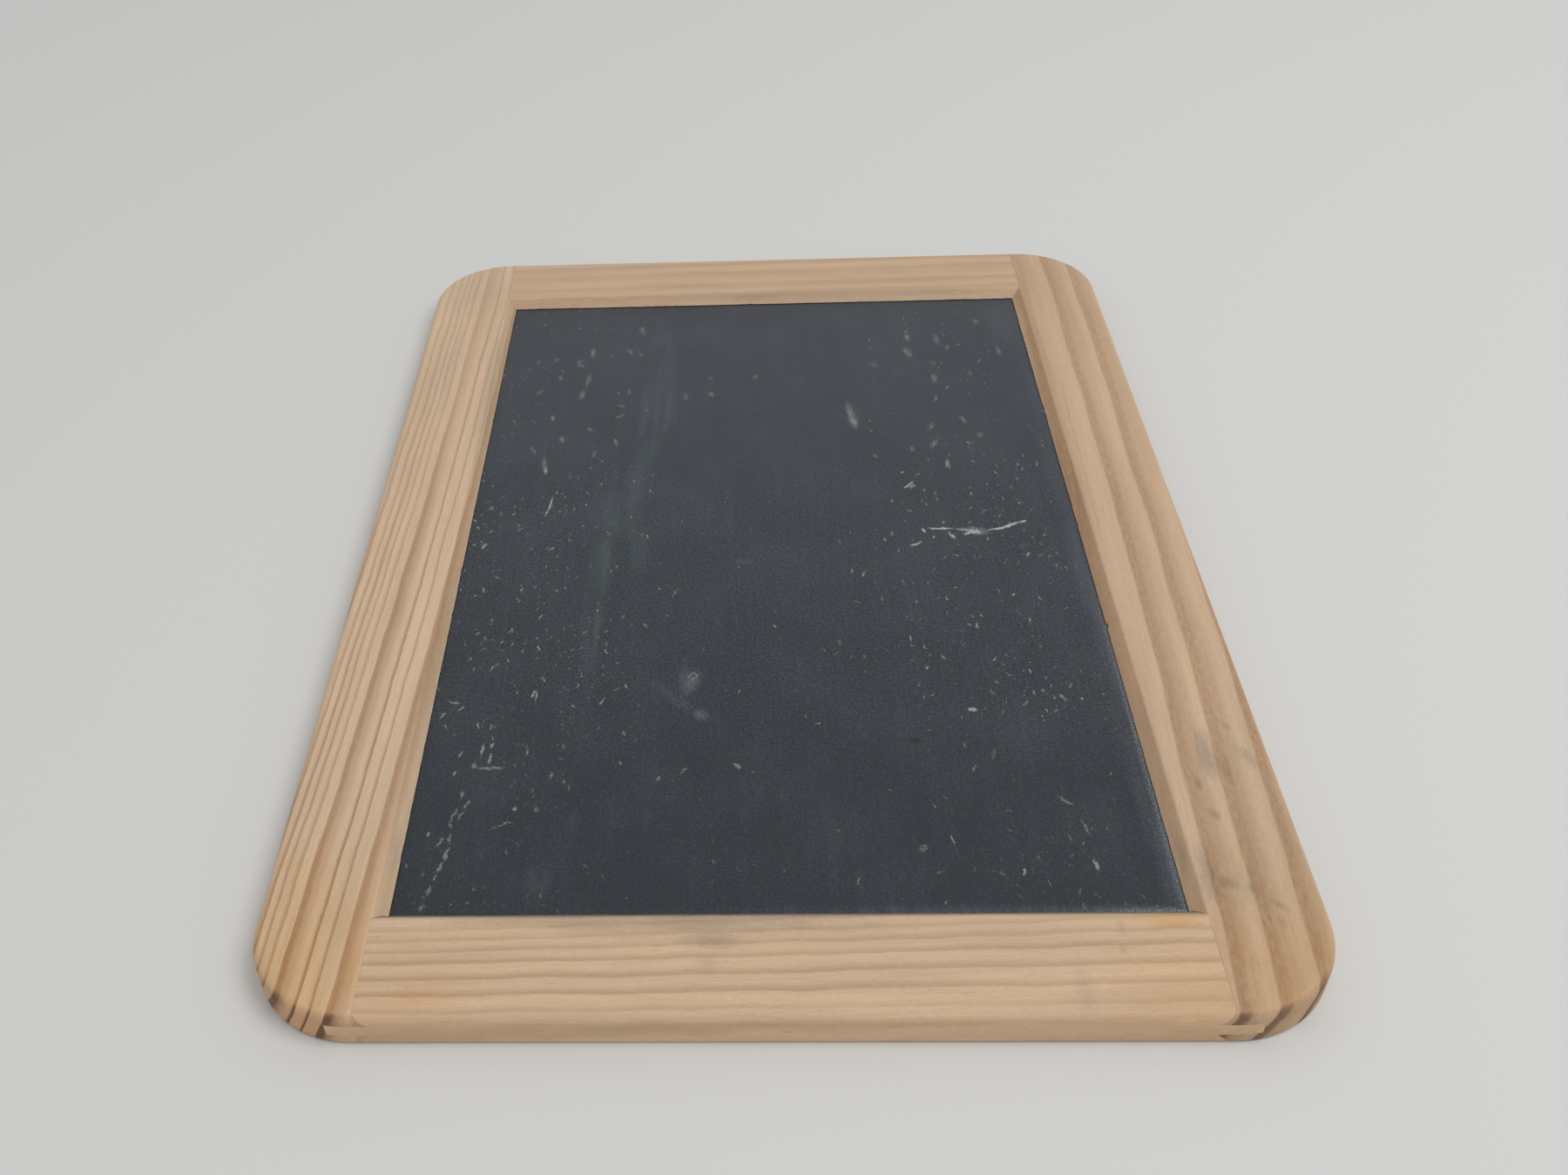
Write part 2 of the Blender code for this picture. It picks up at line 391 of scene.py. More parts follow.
# Chalk on the writing face, each mark as the fields of Mark
CHALK_MARKS = (
    # The long bright streak at the right, with its blob and branches
    (37.6, 2.4, 5.0, 0.42, 88, 0.76), (34.0, 1.8, 1.2, 0.5, 20, 0.76), (43.0, 1.8, 3.4, 0.5, 78, 0.66),
    (45.0, 1.1, 2.6, 1.2, 76, 0.72), (45.8, 1.2, 1.9, 0.6, 20, 0.66), (43.6, 0.5, 1.8, 0.55, 125, 0.7),
    (51.0, 2.2, 5.4, 0.48, 107, 0.8), (53.6, 3.4, 3.6, 0.48, 112, 0.78),
    (56.2, 4.3, 1.3, 0.55, 120, 0.76), (39.9, -0.2, 2.2, 0.55, 24, 0.66, 0.05),
    (35.9, -0.5, 0.8, 0.45, 0, 0.6, 0.3), (31.8, -3.0, 2.6, 0.42, -58, 0.7),
    (27.8, -5.4, 1.1, 0.35, -25, 0.5), (38.6, 4.5, 0.7, 0.4, 0, 0.5), (44.5, 4.5, 0.9, 0.35, -50, 0.5),
    (48.2, 8.7, 1.0, 0.35, 80, 0.5, 0.3), (54.6, -4.3, 0.9, 0.75, 0, 0.65, 0.0, 0.9),
    # Loose strokes of the right third
    (32.2, 18.8, 2.7, 0.5, -42, 0.65), (34.8, 23.2, 1.8, 0.45, -35, 0.35),
    (31.2, 23.8, 0.8, 0.4, -35, 0.6), (62.6, 26.2, 1.6, 0.32, 0, 0.55, 0.06),
    (60.0, 29.6, 1.2, 0.32, 0, 0.5), (59.0, 24.2, 1.1, 0.32, -6, 0.45),
    (55.6, -7.2, 1.1, 0.55, -30, 0.55, 0.12), (55.0, -3.6, 0.9, 0.7, 0, 0.45, 0.0, 0.8),
    (41.7, -30.2, 1.5, 0.5, 6, 0.55, 0.06), (33.8, -39.6, 1.5, 0.32, 32, 0.55),
    (37.8, -54.4, 1.2, 0.9, 80, 0.65), (42.2, -49.6, 1.5, 0.25, 8, 0.45),
    (50.2, -50.0, 1.2, 0.25, 0, 0.45), (36.2, -69.6, 1.6, 0.38, -22, 0.45),
    (40.2, -66.4, 2.4, 0.6, -15, 0.3), (51.6, -78.0, 2.6, 0.55, 48, 0.4),
    (54.0, -84.2, 3.0, 0.42, 14, 0.4), (54.3, -92.8, 2.2, 0.62, 10, 0.55),
    (41.7, -94.2, 1.2, 0.45, 0, 0.55), (30.2, -86.8, 1.9, 0.4, 6, 0.5),
    (24.8, -88.8, 1.3, 1.0, -30, 0.65, 0.0, 0.5), (13.0, -96.0, 1.5, 0.4, -10, 0.4),
    (17.2, -11.8, 1.5, 0.3, 5, 0.5, -0.1), (19.6, -13.0, 1.5, 0.3, -8, 0.55, 0.08),
    # Crumbs above the streak
    (32.9, 18.2, 1.7, 0.6, -30, 0.52), (35.6, 16.7, 1.1, 0.45, 0, 0.40),
    (37.9, 15.5, 1.2, 0.45, -10, 0.40), (38.0, 13.3, 0.9, 0.45, 0, 0.38),
    (35.4, 11.6, 0.9, 0.5, 0, 0.42), (27.7, 12.8, 1.2, 0.5, 0, 0.42), (31.4, 9.0, 1.3, 0.5, 70, 0.40),
    (46.1, 14.9, 1.2, 0.55, 0, 0.46), (55.4, 17.2, 1.0, 0.45, 0, 0.42),
    (57.2, 20.5, 1.2, 0.42, 0, 0.40), (26.9, 0.8, 1.5, 0.55, -10, 0.42),
    # The middle
    (-16.6, -44.2, 1.6, 1.2, -20, 1.0, 0.0, 0.9), (-7.8, -68.6, 1.5, 0.7, 55, 0.5),
    (-18.0, -69.8, 1.4, 0.4, -32, 0.4), (-20.8, -18.4, 3.2, 0.32, -20, 0.4),
    (-26.8, -28.6, 1.3, 0.35, 28, 0.45),
    # The left third
    (-50.5, 13.4, 5.2, 0.30, -8, 0.7), (-51.0, 10.4, 1.8, 0.45, -10, 0.6),
    (-49.4, 18.2, 0.9, 0.6, 0, 0.45), (-58.6, 10.2, 0.8, 0.6, 0, 0.45),
    (-56.4, 4.6, 1.6, 0.4, -60, 0.45), (-64.0, -1.4, 1.6, 0.75, -25, 0.6),
    (-62.2, -16.6, 1.4, 0.3, 20, 0.55, 0.1), (-63.8, -18.2, 0.8, 0.55, 0, 0.5),
    (-54.8, -29.6, 1.4, 0.32, -12, 0.6, -0.12), (-48.4, -35.4, 1.4, 0.32, 18, 0.6),
    (-48.2, -48.8, 1.6, 0.45, -21, 0.6), (-47.6, -49.4, 2.4, 0.32, 2, 0.58),
    (-34.4, -51.1, 1.5, 0.5, -27, 0.5), (-56.6, -63.8, 2.6, 0.6, -2, 0.5, 0.08),
    (-54.8, -66.2, 2.4, 0.52, 0, 0.52), (-54.8, -62.6, 1.2, 0.5, -10, 0.5),
    (-54.6, -68.6, 4.2, 0.75, 88, 0.43), (-57.6, -68.0, 1.4, 0.9, 0, 0.42),
    (-47.8, -64.6, 1.8, 0.38, 0, 0.4, -0.1), (-63.8, -51.0, 2.2, 0.35, 75, 0.5, 0.1),
    (-62.2, -52.6, 1.4, 0.35, 130, 0.5), (-65.6, -54.4, 1.6, 0.35, -25, 0.5, 0.15),
    (-64.6, -57.6, 1.5, 0.35, 35, 0.5, -0.15), (-58.2, -57.4, 1.5, 0.35, 10, 0.55, 0.15),
    (-55.6, -57.8, 1.3, 0.35, -10, 0.5), (-57.2, -41.0, 1.4, 0.35, -30, 0.5, 0.1),
    (-59.6, -12.4, 1.4, 0.35, 60, 0.5, 0.2), (-54.0, -16.6, 1.2, 0.35, 0, 0.5, 0.2),
    (-49.0, -25.6, 1.1, 0.35, -25, 0.55, -0.2), (-46.6, -44.6, 1.2, 0.35, 20, 0.5, 0.2),
    (-60.6, -65.0, 1.6, 0.35, -15, 0.5), (-50.8, -82.7, 3.4, 0.38, -62, 0.42, 0.03),
    (-44.8, -79.0, 1.1, 0.8, 0, 0.42), (-48.7, -78.9, 1.0, 0.5, 0, 0.52),
    (-42.7, -70.7, 1.6, 0.6, -10, 0.4), (-40.2, -72.1, 0.8, 0.5, -10, 0.48),
    (-22.5, -71.6, 1.0, 0.5, -7, 0.48),
    # The broken streak by the near left corner
    (-61.1, -69.9, 0.9, 0.5, -7, 0.5), (-58.9, -75.3, 1.8, 0.45, -4, 0.40),
    (-57.8, -77.6, 2.0, 0.48, -23, 0.46), (-58.5, -80.3, 2.2, 0.42, -17, 0.42),
    (-59.8, -80.3, 2.9, 0.48, -18, 0.46), (-60.1, -82.7, 1.1, 0.5, 26, 0.43),
    (-59.8, -85.6, 2.1, 0.42, -2, 0.40), (-61.4, -86.6, 2.1, 0.48, -26, 0.43),
    (-63.8, -84.7, 0.9, 0.55, 0, 0.5), (-59.9, -89.3, 2.4, 0.6, -6, 0.50),
    (-60.6, -92.3, 2.1, 0.55, -15, 0.46), (-61.2, -94.6, 1.3, 0.5, -21, 0.43),
    (-61.8, -97.5, 1.9, 0.6, -14, 0.40), (-62.5, -101.0, 1.5, 0.8, -11, 0.37),
)

# Marks that were smeared, and a spot rubbed dark
SMEARS = (
    (45.2, 1.3, 4.2, 2.0, 80, 0.75), (-16.4, -45.6, 4.6, 2.4, -20, 0.25),
    (20.7, 48.6, 6.8, 1.3, 7, 0.66), (21.2, 45.2, 4.2, 1.5, 7, 0.80), (37.2, 76.6, 3.6, 1.5, 14, 0.55),
    (37.7, 84.0, 2.6, 1.0, 0, 0.60), (42.7, 63.8, 3.2, 1.1, -4, 0.55), (43.3, 71.0, 2.0, 0.9, 0, 0.35),
    (42.2, 54.8, 2.4, 0.6, -14, 0.45), (39.8, 42.4, 2.4, 0.9, -25, 0.40),
    (47.8, 45.2, 2.4, 1.1, 15, 0.45), (51.0, 38.4, 1.8, 0.9, -10, 0.45),
    (52.0, 66.2, 1.8, 0.8, 0, 0.35), (45.2, 82.6, 4.0, 1.2, 0, 0.35), (47.6, 78.6, 2.0, 1.0, -10, 0.35),
    (60.6, 76.4, 2.6, 0.9, 4, 0.40), (56.6, 91.4, 2.0, 1.3, 0, 0.40), (28.2, 70.8, 1.6, 0.8, 0, 0.30),
    (42.0, 27.0, 2.8, 0.8, 2, 0.95), (39.7, 35.2, 2.6, 0.9, -25, 0.50), (34.4, 33.2, 2.0, 0.7, 0, 0.50),
    (25.4, 30.6, 1.6, 0.7, 20, 0.35), (-14.9, -55.2, 2.4, 1.7, 40, 0.25),
    (-13.6, 58.6, 1.8, 1.0, 15, 0.45), (-2.4, 66.4, 1.8, 1.1, 0, 0.40),
    (-20.2, 58.0, 2.2, 1.0, 15, 0.35), (-14.0, 66.0, 1.4, 0.9, 0, 0.25),
    (-45.0, 79.6, 3.4, 1.0, 2, 0.60), (-48.2, 74.6, 2.6, 1.0, 0, 0.35),
    (-45.3, 66.4, 4.8, 1.0, -5, 0.45), (-46.4, 59.4, 3.0, 1.2, -6, 0.50),
    (-52.6, 67.6, 1.8, 0.8, 12, 0.50), (-35.2, 79.8, 2.0, 1.0, 30, 0.40),
    (-32.4, 78.4, 1.4, 0.8, 30, 0.42), (-54.4, 76.4, 1.6, 0.8, 0, 0.35),
    (-59.0, 75.6, 1.8, 0.8, 0, 0.30), (-32.4, 90.2, 3.0, 1.3, 10, 0.35),
    (-57.4, 61.0, 2.0, 1.0, -40, 0.35), (-53.0, 49.2, 2.0, 0.8, 0, 0.55),
    (-36.0, 54.0, 1.4, 0.8, 80, 0.50), (-36.2, 49.6, 2.0, 0.8, -50, 0.50),
    (-34.6, 60.6, 1.8, 0.7, 0, 0.40), (-43.4, 44.0, 1.4, 0.8, 30, 0.45),
    (-36.6, 38.0, 2.2, 0.7, 14, 0.60), (-49.9, 39.8, 2.0, 1.1, 10, 0.60),
    (-53.4, 30.2, 3.6, 0.9, 8, 0.55), (-52.8, 27.2, 3.0, 0.8, 4, 1.0),
    (-56.6, 35.4, 3.0, 0.8, 20, 0.35), (-41.6, 33.6, 2.4, 0.6, -8, 0.40),
)
DARK_SPOTS = (
    (25.8, -62.5, 2.2, 1.3, 78, 1.0),
)

# Soft films of wiped white and green chalk
WHITE_FILMS = (
    (-17.8, -45.5, 6.5, 2.6, 5, 0.75), (-21.0, -49.5, 10.5, 2.4, 47, 0.50),
    (-14.6, -55.0, 3.2, 2.4, 40, 0.70), (-41.0, -53.0, 12.0, 4.5, 5, 0.30),
    (-37.5, -82.0, 4.5, 1.7, 0, 0.45), (-43.0, -96.0, 8.0, 3.5, 0, 0.40),
    (-6.0, -8.2, 2.6, 1.3, 86, 0.90), (-30.2, 51.0, 16.0, 1.9, 0, 0.75),
    (-24.6, 53.0, 17.0, 1.7, -2, 0.85), (-25.2, 84.0, 11.0, 1.2, 0, 0.60),
    (-31.0, 16.0, 12.0, 1.6, -4, 0.60), (-30.5, 20.0, 18.0, 5.5, -4, 0.50),
    (-26.0, 62.0, 30.0, 4.5, -3, 0.38), (-27.0, 88.0, 14.0, 3.4, -2, 0.30),
    (-38.6, -34.0, 24.0, 3.2, 3, 0.35), (-37.0, 10.0, 13.0, 8.0, 0, 0.30),
    (63.0, 90.0, 16.0, 6.0, 0, 0.40), (47.0, -62.0, 12.0, 7.0, 0, 0.22),
    (21.4, 49.0, 9.0, 2.0, 6, 0.80),
)
GREEN_FILMS = (
    (-28.4, 33.0, 12.5, 3.8, -10, 0.90), (-34.5, 6.0, 10.0, 7.5, 0, 0.55),
    (-37.2, -8.0, 17.5, 4.2, 0, 1.05), (-37.0, -27.0, 13.0, 1.3, 0, 0.85),
    (-29.2, -2.5, 14.0, 3.0, 0, 0.75), (-37.0, -37.0, 6.0, 2.0, 0, 0.40),
)


class FrameSizes(bpy.types.PropertyGroup):
    """Sizes of the frame's moulding, joints and wear."""

    groove_depth: FloatProperty(
        name="Groove depth", description="How far the slab's groove reaches into a stick",
        default=0.007, unit="LENGTH")
    groove_height: FloatProperty(
        name="Groove height", description="Height of the groove that holds the slab and the tongues",
        default=0.0026, unit="LENGTH")
    bevel_width: FloatProperty(
        name="Bevel width", description="Width of the bevels along the inner edges",
        default=0.0022, unit="LENGTH")
    lip_edge: FloatProperty(
        name="Lip edge", description="Height of the blunt edge that the bevels end in",
        default=0.0001, unit="LENGTH")
    corner_radius: FloatProperty(
        name="Corner radius", description="Radius of the board's four corners",
        default=0.019, unit="LENGTH")
    arris_radius: FloatProperty(
        name="Outer arris", description="Radius of the outer arris of the writing face",
        default=0.0017, unit="LENGTH")
    back_arris: FloatProperty(
        name="Back arris", description="Radius of the outer arris of the back",
        default=0.0008, unit="LENGTH")
    inner_arris: FloatProperty(
        name="Inner arris", description="Softening of the arris above a bevel",
        default=0.0003, unit="LENGTH")
    lip_round: FloatProperty(
        name="Lip rounding", description="Softening of the lip's two arrises",
        default=0.00004, unit="LENGTH")
    joint_gap: FloatProperty(
        name="Joint gap", description="Hairline between a rail end and its stile",
        default=0.000012, unit="LENGTH")
    lip_tear: FloatProperty(
        name="Lip tear", description="Deepest tear of the fibres along a lip",
        default=0.0002, unit="LENGTH")
    station: FloatProperty(
        name="Station", description="Distance between the sections along a stick",
        default=0.0009, unit="LENGTH")
    corner_segments: IntProperty(
        name="Corner segments", description="Facets of a rounded corner", default=32, min=4)
    arris_segments: IntProperty(
        name="Arris segments", description="Facets of an eased arris", default=8, min=1)


class PineFinish(bpy.types.PropertyGroup):
    """Colours and surface of the bare pine."""

    earlywood: FloatVectorProperty(
        name="Earlywood", description="Pale wood between the ring lines", subtype="COLOR",
        size=4, min=0.0, max=1.0, default=(0.690, 0.505, 0.345, 1.0))
    latewood: FloatVectorProperty(
        name="Latewood", description="Dark line of a growth ring", subtype="COLOR",
        size=4, min=0.0, max=1.0, default=(0.400, 0.232, 0.125, 1.0))
    end_late: FloatVectorProperty(
        name="End lines", description="Dark ring line on a cut end", subtype="COLOR",
        size=4, min=0.0, max=1.0, default=(0.085, 0.040, 0.033, 1.0))
    soil: FloatVectorProperty(
        name="Soil", description="What chalk and slate dust multiply the wood's colour by",
        subtype="COLOR", size=4, min=0.0, max=1.0, default=(0.56, 0.62, 0.69, 1.0))
    resin: FloatVectorProperty(
        name="Resin", description="What a resin stain multiplies the wood's colour by",
        subtype="COLOR", size=4, min=0.0, max=1.0, default=(0.98, 0.84, 0.58, 1.0))
    roughness: FloatProperty(
        name="Roughness", description="Roughness of the sanded face", subtype="FACTOR",
        min=0.0, max=1.0, default=0.62)


class SlateFinish(bpy.types.PropertyGroup):
    """Colours and surface of the slate and its chalk."""

    stone: FloatVectorProperty(
        name="Stone", description="Body colour of the slate", subtype="COLOR",
        size=4, min=0.0, max=1.0, default=(0.0160, 0.0222, 0.0298, 1.0))
    film: FloatVectorProperty(
        name="Chalk film", description="Slate under a thin film of wiped chalk",
        subtype="COLOR", size=4, min=0.0, max=1.0, default=(0.069, 0.077, 0.094, 1.0))
    green_film: FloatVectorProperty(
        name="Green film", description="Slate under a wiped streak of green chalk",
        subtype="COLOR", size=4, min=0.0, max=1.0, default=(0.060, 0.090, 0.095, 1.0))
    dark: FloatVectorProperty(
        name="Dark spot", description="Slate rubbed bare and dark", subtype="COLOR",
        size=4, min=0.0, max=1.0, default=(0.009, 0.012, 0.016, 1.0))
    chalk: FloatVectorProperty(
        name="Chalk", description="White chalk left on the surface", subtype="COLOR",
        size=4, min=0.0, max=1.0, default=(0.62, 0.65, 0.66, 1.0))
    roughness: FloatProperty(
        name="Roughness", description="Roughness of the honed face", subtype="FACTOR",
        min=0.0, max=1.0, default=0.50)
    undulation: FloatProperty(
        name="Undulation", description="Height of the slow waves of the split stone",
        default=0.00006, unit="LENGTH")
    grid: FloatProperty(
        name="Grid", description="Distance between the points of the slab's faces",
        default=0.0015, unit="LENGTH")


class StageSettings(bpy.types.PropertyGroup):
    """The pale floor and the soft light."""

    floor: FloatVectorProperty(
        name="Floor", description="Colour of the pale floor", subtype="COLOR",
        size=4, min=0.0, max=1.0, default=(0.75, 0.75, 0.74, 1.0))
    floor_size: FloatProperty(
        name="Floor size", description="Length of the floor's sides", default=4.0, unit="LENGTH")
    dome: FloatProperty(
        name="Dome", description="Strength of the even light from all round", default=0.54)
    key_power: FloatProperty(
        name="Key power", description="Power of the large soft light", default=8.2, unit="POWER")
    key_size: FloatProperty(
        name="Key size", description="Length of the soft light's sides", default=0.8,
        unit="LENGTH")
    key_place: FloatVectorProperty(
        name="Key place", description="Where the soft light stands", subtype="TRANSLATION",
        default=(0.75, -0.25, 1.30))


class Bench:
    """Adds nodes to one tree and links them, so that a finish reads as a list of steps."""

    def __init__(self, tree):
        self.tree = tree

    def fill(self, node, inputs):
        """Link or set a node's inputs, which are given by name or number."""
        for name, value in inputs.items():
            socket = node.inputs[name]
            if isinstance(value, bpy.types.NodeSocket):
                self.tree.links.new(value, socket)
            else:
                socket.default_value = value

    def add(self, kind, inputs, **settings):
        """A new node: its settings decide which inputs it has, so they come first."""
        node = self.tree.nodes.new("ShaderNode" + kind)
        for name, value in settings.items():
            setattr(node, name, value)
        self.fill(node, inputs)
        return node

    def math(self, operation, *values):
        return self.add("Math", dict(enumerate(values)), operation=operation).outputs[0]

    def plus(self, first, second):
        return self.math("ADD", first, second)

    def minus(self, first, second):
        return self.math("SUBTRACT", first, second)

    def times(self, first, second):
        return self.math("MULTIPLY", first, second)

    def scaled(self, value, factor, offset):
        """A value times a factor, plus an offset."""
        return self.math("MULTIPLY_ADD", value, factor, offset)

    def most(self, first, second):
        return self.math("MAXIMUM", first, second)

    def fit(self, value, low, high, to_low=0.0, to_high=1.0, shape="SMOOTHSTEP"):
        """Map a value from low..high to another span, and hold it there."""
        inputs = {"Value": value, "From Min": low, "From Max": high,
                  "To Min": to_low, "To Max": to_high}
        return self.add("MapRange", inputs, interpolation_type=shape).outputs["Result"]

    def spread(self, share, low, high):
        """A share from 0 to 1 as an even step between two values."""
        return self.fit(share, 0.0, 1.0, low, high, "LINEAR")

    def vector(self, x, y, z=0.0):
        return self.add("CombineXYZ", {"X": x, "Y": y, "Z": z}).outputs[0]

    def split(self, vector):
        return self.add("SeparateXYZ", {"Vector": vector}).outputs

    def move(self, operation, *vectors, result="Vector"):
        """A step of arithmetic with whole vectors."""
        return self.add("VectorMath", dict(enumerate(vectors)), operation=operation).outputs[result]

    def noise(self, vector, scale, detail, roughness=0.5, result="Fac"):
        inputs = {"Vector": vector, "Scale": scale, "Detail": detail, "Roughness": roughness}
        return self.add("TexNoise", inputs).outputs[result]

    def blend(self, factor, first, second, mode="MIX"):
        """Mix two colours. The factor is held between 0 and 1 by the node itself."""
        inputs = {0: factor, 6: first, 7: second}
        return self.add("Mix", inputs, data_type="RGBA", blend_type=mode).outputs[2]

    def millimetres(self):
        """Object coordinates, which are the board's own, in millimetres."""
        place = self.add("TexCoord", {}).outputs["Object"]
        return self.move("MULTIPLY", place, (PER_MILLIMETRE,) * 3)


def new_material(name):
    """A material with a bare node tree: its bench and its shader."""
    material = bpy.data.materials.new(name)
    material.use_nodes = True
    bench = Bench(material.node_tree)
    return material, bench, material.node_tree.nodes["Principled BSDF"]


def dress(bench, shader, colour, rough, relief, bump, specular):
    """Put a finish on its shader. Bump is the relief's strength and its depth in millimetres."""
    strength, height = bump
    inputs = {"Strength": strength, "Distance": height * MILLIMETRE, "Height": relief}
    normal = bench.add("Bump", inputs).outputs["Normal"]
    bench.fill(shader, {"Base Color": colour, "Roughness": rough, "Normal": normal,
                        "Specular IOR Level": specular})


def moulding(sizes, width):
    """A stick's section: X inwards from the outer edge, Y up from mid-height."""
    lip_under = sizes.groove_height / 2
    upper = [
        (width - sizes.groove_depth, lip_under),
        (width, lip_under),
        (width, lip_under + sizes.lip_edge),
        (width - sizes.bevel_width, HALF_THICKNESS),
        (-TRIM_WASTE, HALF_THICKNESS),
    ]
    lower = [(x, -y) for x, y in reversed(upper)]
    return [Vector(point) for point in upper + lower]


def grown(outline, distance):
    """Move every side of an anticlockwise outline outwards by a distance."""
    points = []
    for index, point in enumerate(outline):
        before = (point - outline[index - 1]).normalized()
        after = (outline[(index + 1) % len(outline)] - point).normalized()
        normals = [Vector((side.y, -side.x)) for side in (before, after)]
        middle = normals[0] + normals[1]
        points.append(point + middle * distance / (1 + normals[0].dot(normals[1])))
    return points


def extrude_up(shape, faces, step):
    """Extrude faces by a step."""
    run = bmesh.ops.extrude_face_region(shape, geom=faces)["geom"]
    moved = [element for element in run if isinstance(element, bmesh.types.BMVert)]
    bmesh.ops.translate(shape, verts=moved, vec=step)


def stick_shape(section, length):
    """A section run along Y, centred on the origin."""
    shape = bmesh.new()
    end = [shape.verts.new((point.x, -length / 2, point.y)) for point in section]
    extrude_up(shape, [shape.faces.new(end)], (0, length, 0))
    bmesh.ops.recalc_face_normals(shape, faces=shape.faces)
    return shape


def long_edges(shape):
    """The edges that run the whole length of a stick."""
    return [edge for edge in shape.edges if edge.verts[0].co.y * edge.verts[1].co.y < 0]


def soften(shape, across, height, radius, segments):
    """Round the long arrises at a place of the section, on both faces of the stick."""
    arrises = []
    for edge in long_edges(shape):
        place = edge.verts[0].co
        if abs(place.x - across) < BLANK_SKIM and abs(abs(place.z) - height) < BLANK_SKIM:
            arrises.append(edge)
    bmesh.ops.bevel(shape, geom=arrises, affect="EDGES", offset=radius, segments=segments,
                    profile=0.5, material=-1)


def tear_lips(shape, sizes, width, stick, clear):
    """Wear the thin lips back by ragged tears and nicks, clear of the corner joints."""
    root = width - sizes.bevel_width * TORN_SHARE
    worn, rougher = stick.wear
    for vert in shape.verts:
        reach = (vert.co.x - root) / (width - root)
        if reach <= 0 or abs(vert.co.y) > clear:
            continue
        side = math.copysign(FACE_STEP, vert.co.z) + stick.grain.seed
        along = vert.co.y * PER_MILLIMETRE
        rough = sum(share * noise.noise((along * pitch, side, layer))
                    for pitch, share, layer in TEARS)
        tear = worn + sizes.lip_tear * rougher * max(0.0, rough)
        for place, half, depth in stick.nicks:
            tear += depth * max(0.0, 1 - abs(vert.co.y - place) / half)
        vert.co.x -= reach * tear


def new_object(name, shape):
    """An object from a bmesh, with its place in its mesh."""
    mesh = bpy.data.meshes.new(name)
    shape.to_mesh(mesh)
    shape.free()
    item = bpy.data.objects.new(name, mesh)
    bpy.context.scene.collection.objects.link(item)
    return item


def board_blank(sizes):
    """The outer form of the whole board, a hair taller, which the sticks are trimmed to."""
    shape = bmesh.new()
    bmesh.ops.create_grid(shape, x_segments=1, y_segments=1, size=0.5)
    bmesh.ops.scale(shape, verts=shape.verts, vec=(BOARD_SIZE.x, BOARD_SIZE.y, 1))
    bmesh.ops.bevel(shape, geom=list(shape.verts), affect="VERTICES", offset=sizes.corner_radius,
                    segments=sizes.corner_segments, profile=0.5, material=-1)
    top = BOARD_SIZE.z + 2 * BLANK_SKIM
    extrude_up(shape, list(shape.faces), (0, 0, top))
    for height, radius in ((0.0, sizes.back_arris), (top, sizes.arris_radius)):
        rim = [edge for edge in shape.edges
               if all(abs(vert.co.z - height) < BLANK_SKIM for vert in edge.verts)]
        bmesh.ops.bevel(shape, geom=rim, affect="EDGES", offset=radius,
                        segments=sizes.arris_segments, profile=0.5, material=-1)
    centre = BOARD_MIDDLE - Vector((0, 0, HALF_THICKNESS + BLANK_SKIM))
    bmesh.ops.translate(shape, verts=shape.verts, vec=centre)
    bmesh.ops.recalc_face_normals(shape, faces=shape.faces)
    return new_object("board_blank", shape)


def seat(shape, stick):
    """Turn a stick to its side of the board and move it out to that edge."""
    edge = Vector((BOARD_SIZE.x, 0, 0)) if stick.axis == "Y" else Vector((0, BOARD_SIZE.y, 0))
    place = Matrix.Translation(BOARD_MIDDLE - edge / 2 * stick.inward)
    turned = place @ Matrix.Rotation(stick.turn, 4, "Z")
    bmesh.ops.transform(shape, matrix=turned, verts=shape.verts)


def moulded_stick(sizes, stick, width, length, clear):
    """A stick with its groove, softened arrises and torn lips, in its place."""
    shape = stick_shape(moulding(sizes, width), length)
    lip_top = sizes.groove_height / 2 + sizes.lip_edge
    soften(shape, width - sizes.bevel_width, HALF_THICKNESS, sizes.inner_arris, INNER_SEGMENTS)
    soften(shape, width, lip_top, sizes.lip_round, LIP_SEGMENTS)
    bmesh.ops.subdivide_edges(shape, edges=long_edges(shape), cuts=round(length / sizes.station),
                              use_grid_fill=True)
    tear_lips(shape, sizes, width, stick, clear)
    seat(shape, stick)
    return new_object(stick.name, shape)


def cope_cutter(sizes, stick):
    """A stile's section grown by the joint gap, which cuts a rail end to fit over the stile."""
    section = grown(moulding(sizes, STILE_WIDTH), sizes.joint_gap)
    shape = stick_shape(section, BOARD_SIZE.y + 4 * TRIM_WASTE)
    seat(shape, stick)
    return new_object(stick.node + "_cope", shape)


def carve(item, cuts):
    """Cut a piece with guides, keep the result as its mesh and give it even shading."""
    for guide, operation in cuts:
        boolean = item.modifiers.new(guide.name, "BOOLEAN")
        boolean.operation = operation
        boolean.solver = "EXACT"
        boolean.object = guide
    bpy.context.view_layer.update()
    depsgraph = bpy.context.evaluated_depsgraph_get()
    carved = bpy.data.meshes.new_from_object(item.evaluated_get(depsgraph))
    if not carved.polygons:
        raise RuntimeError("the cuts left nothing of " + item.name)
    item.modifiers.clear()
    rough = item.data
    item.data = carved
    bpy.data.meshes.remove(rough)
    carved.name = item.name
    shade(item)


def shade(item):
    """Smooth shading that stays flat on the large faces and sharp on the arrises."""
    item.data.shade_smooth()
    item.data.set_sharp_from_angle(angle=SHARP_ANGLE)
    weighted = item.modifiers.new("even_shading", "WEIGHTED_NORMAL")
    weighted.keep_sharp = True


def declare(item, material, node):
    """Give a finished piece its material, hang it under the root body and hide the part it replaces."""
    item.data.materials.clear()
    item.data.materials.append(material)
    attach(item, "root")
    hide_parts(node)


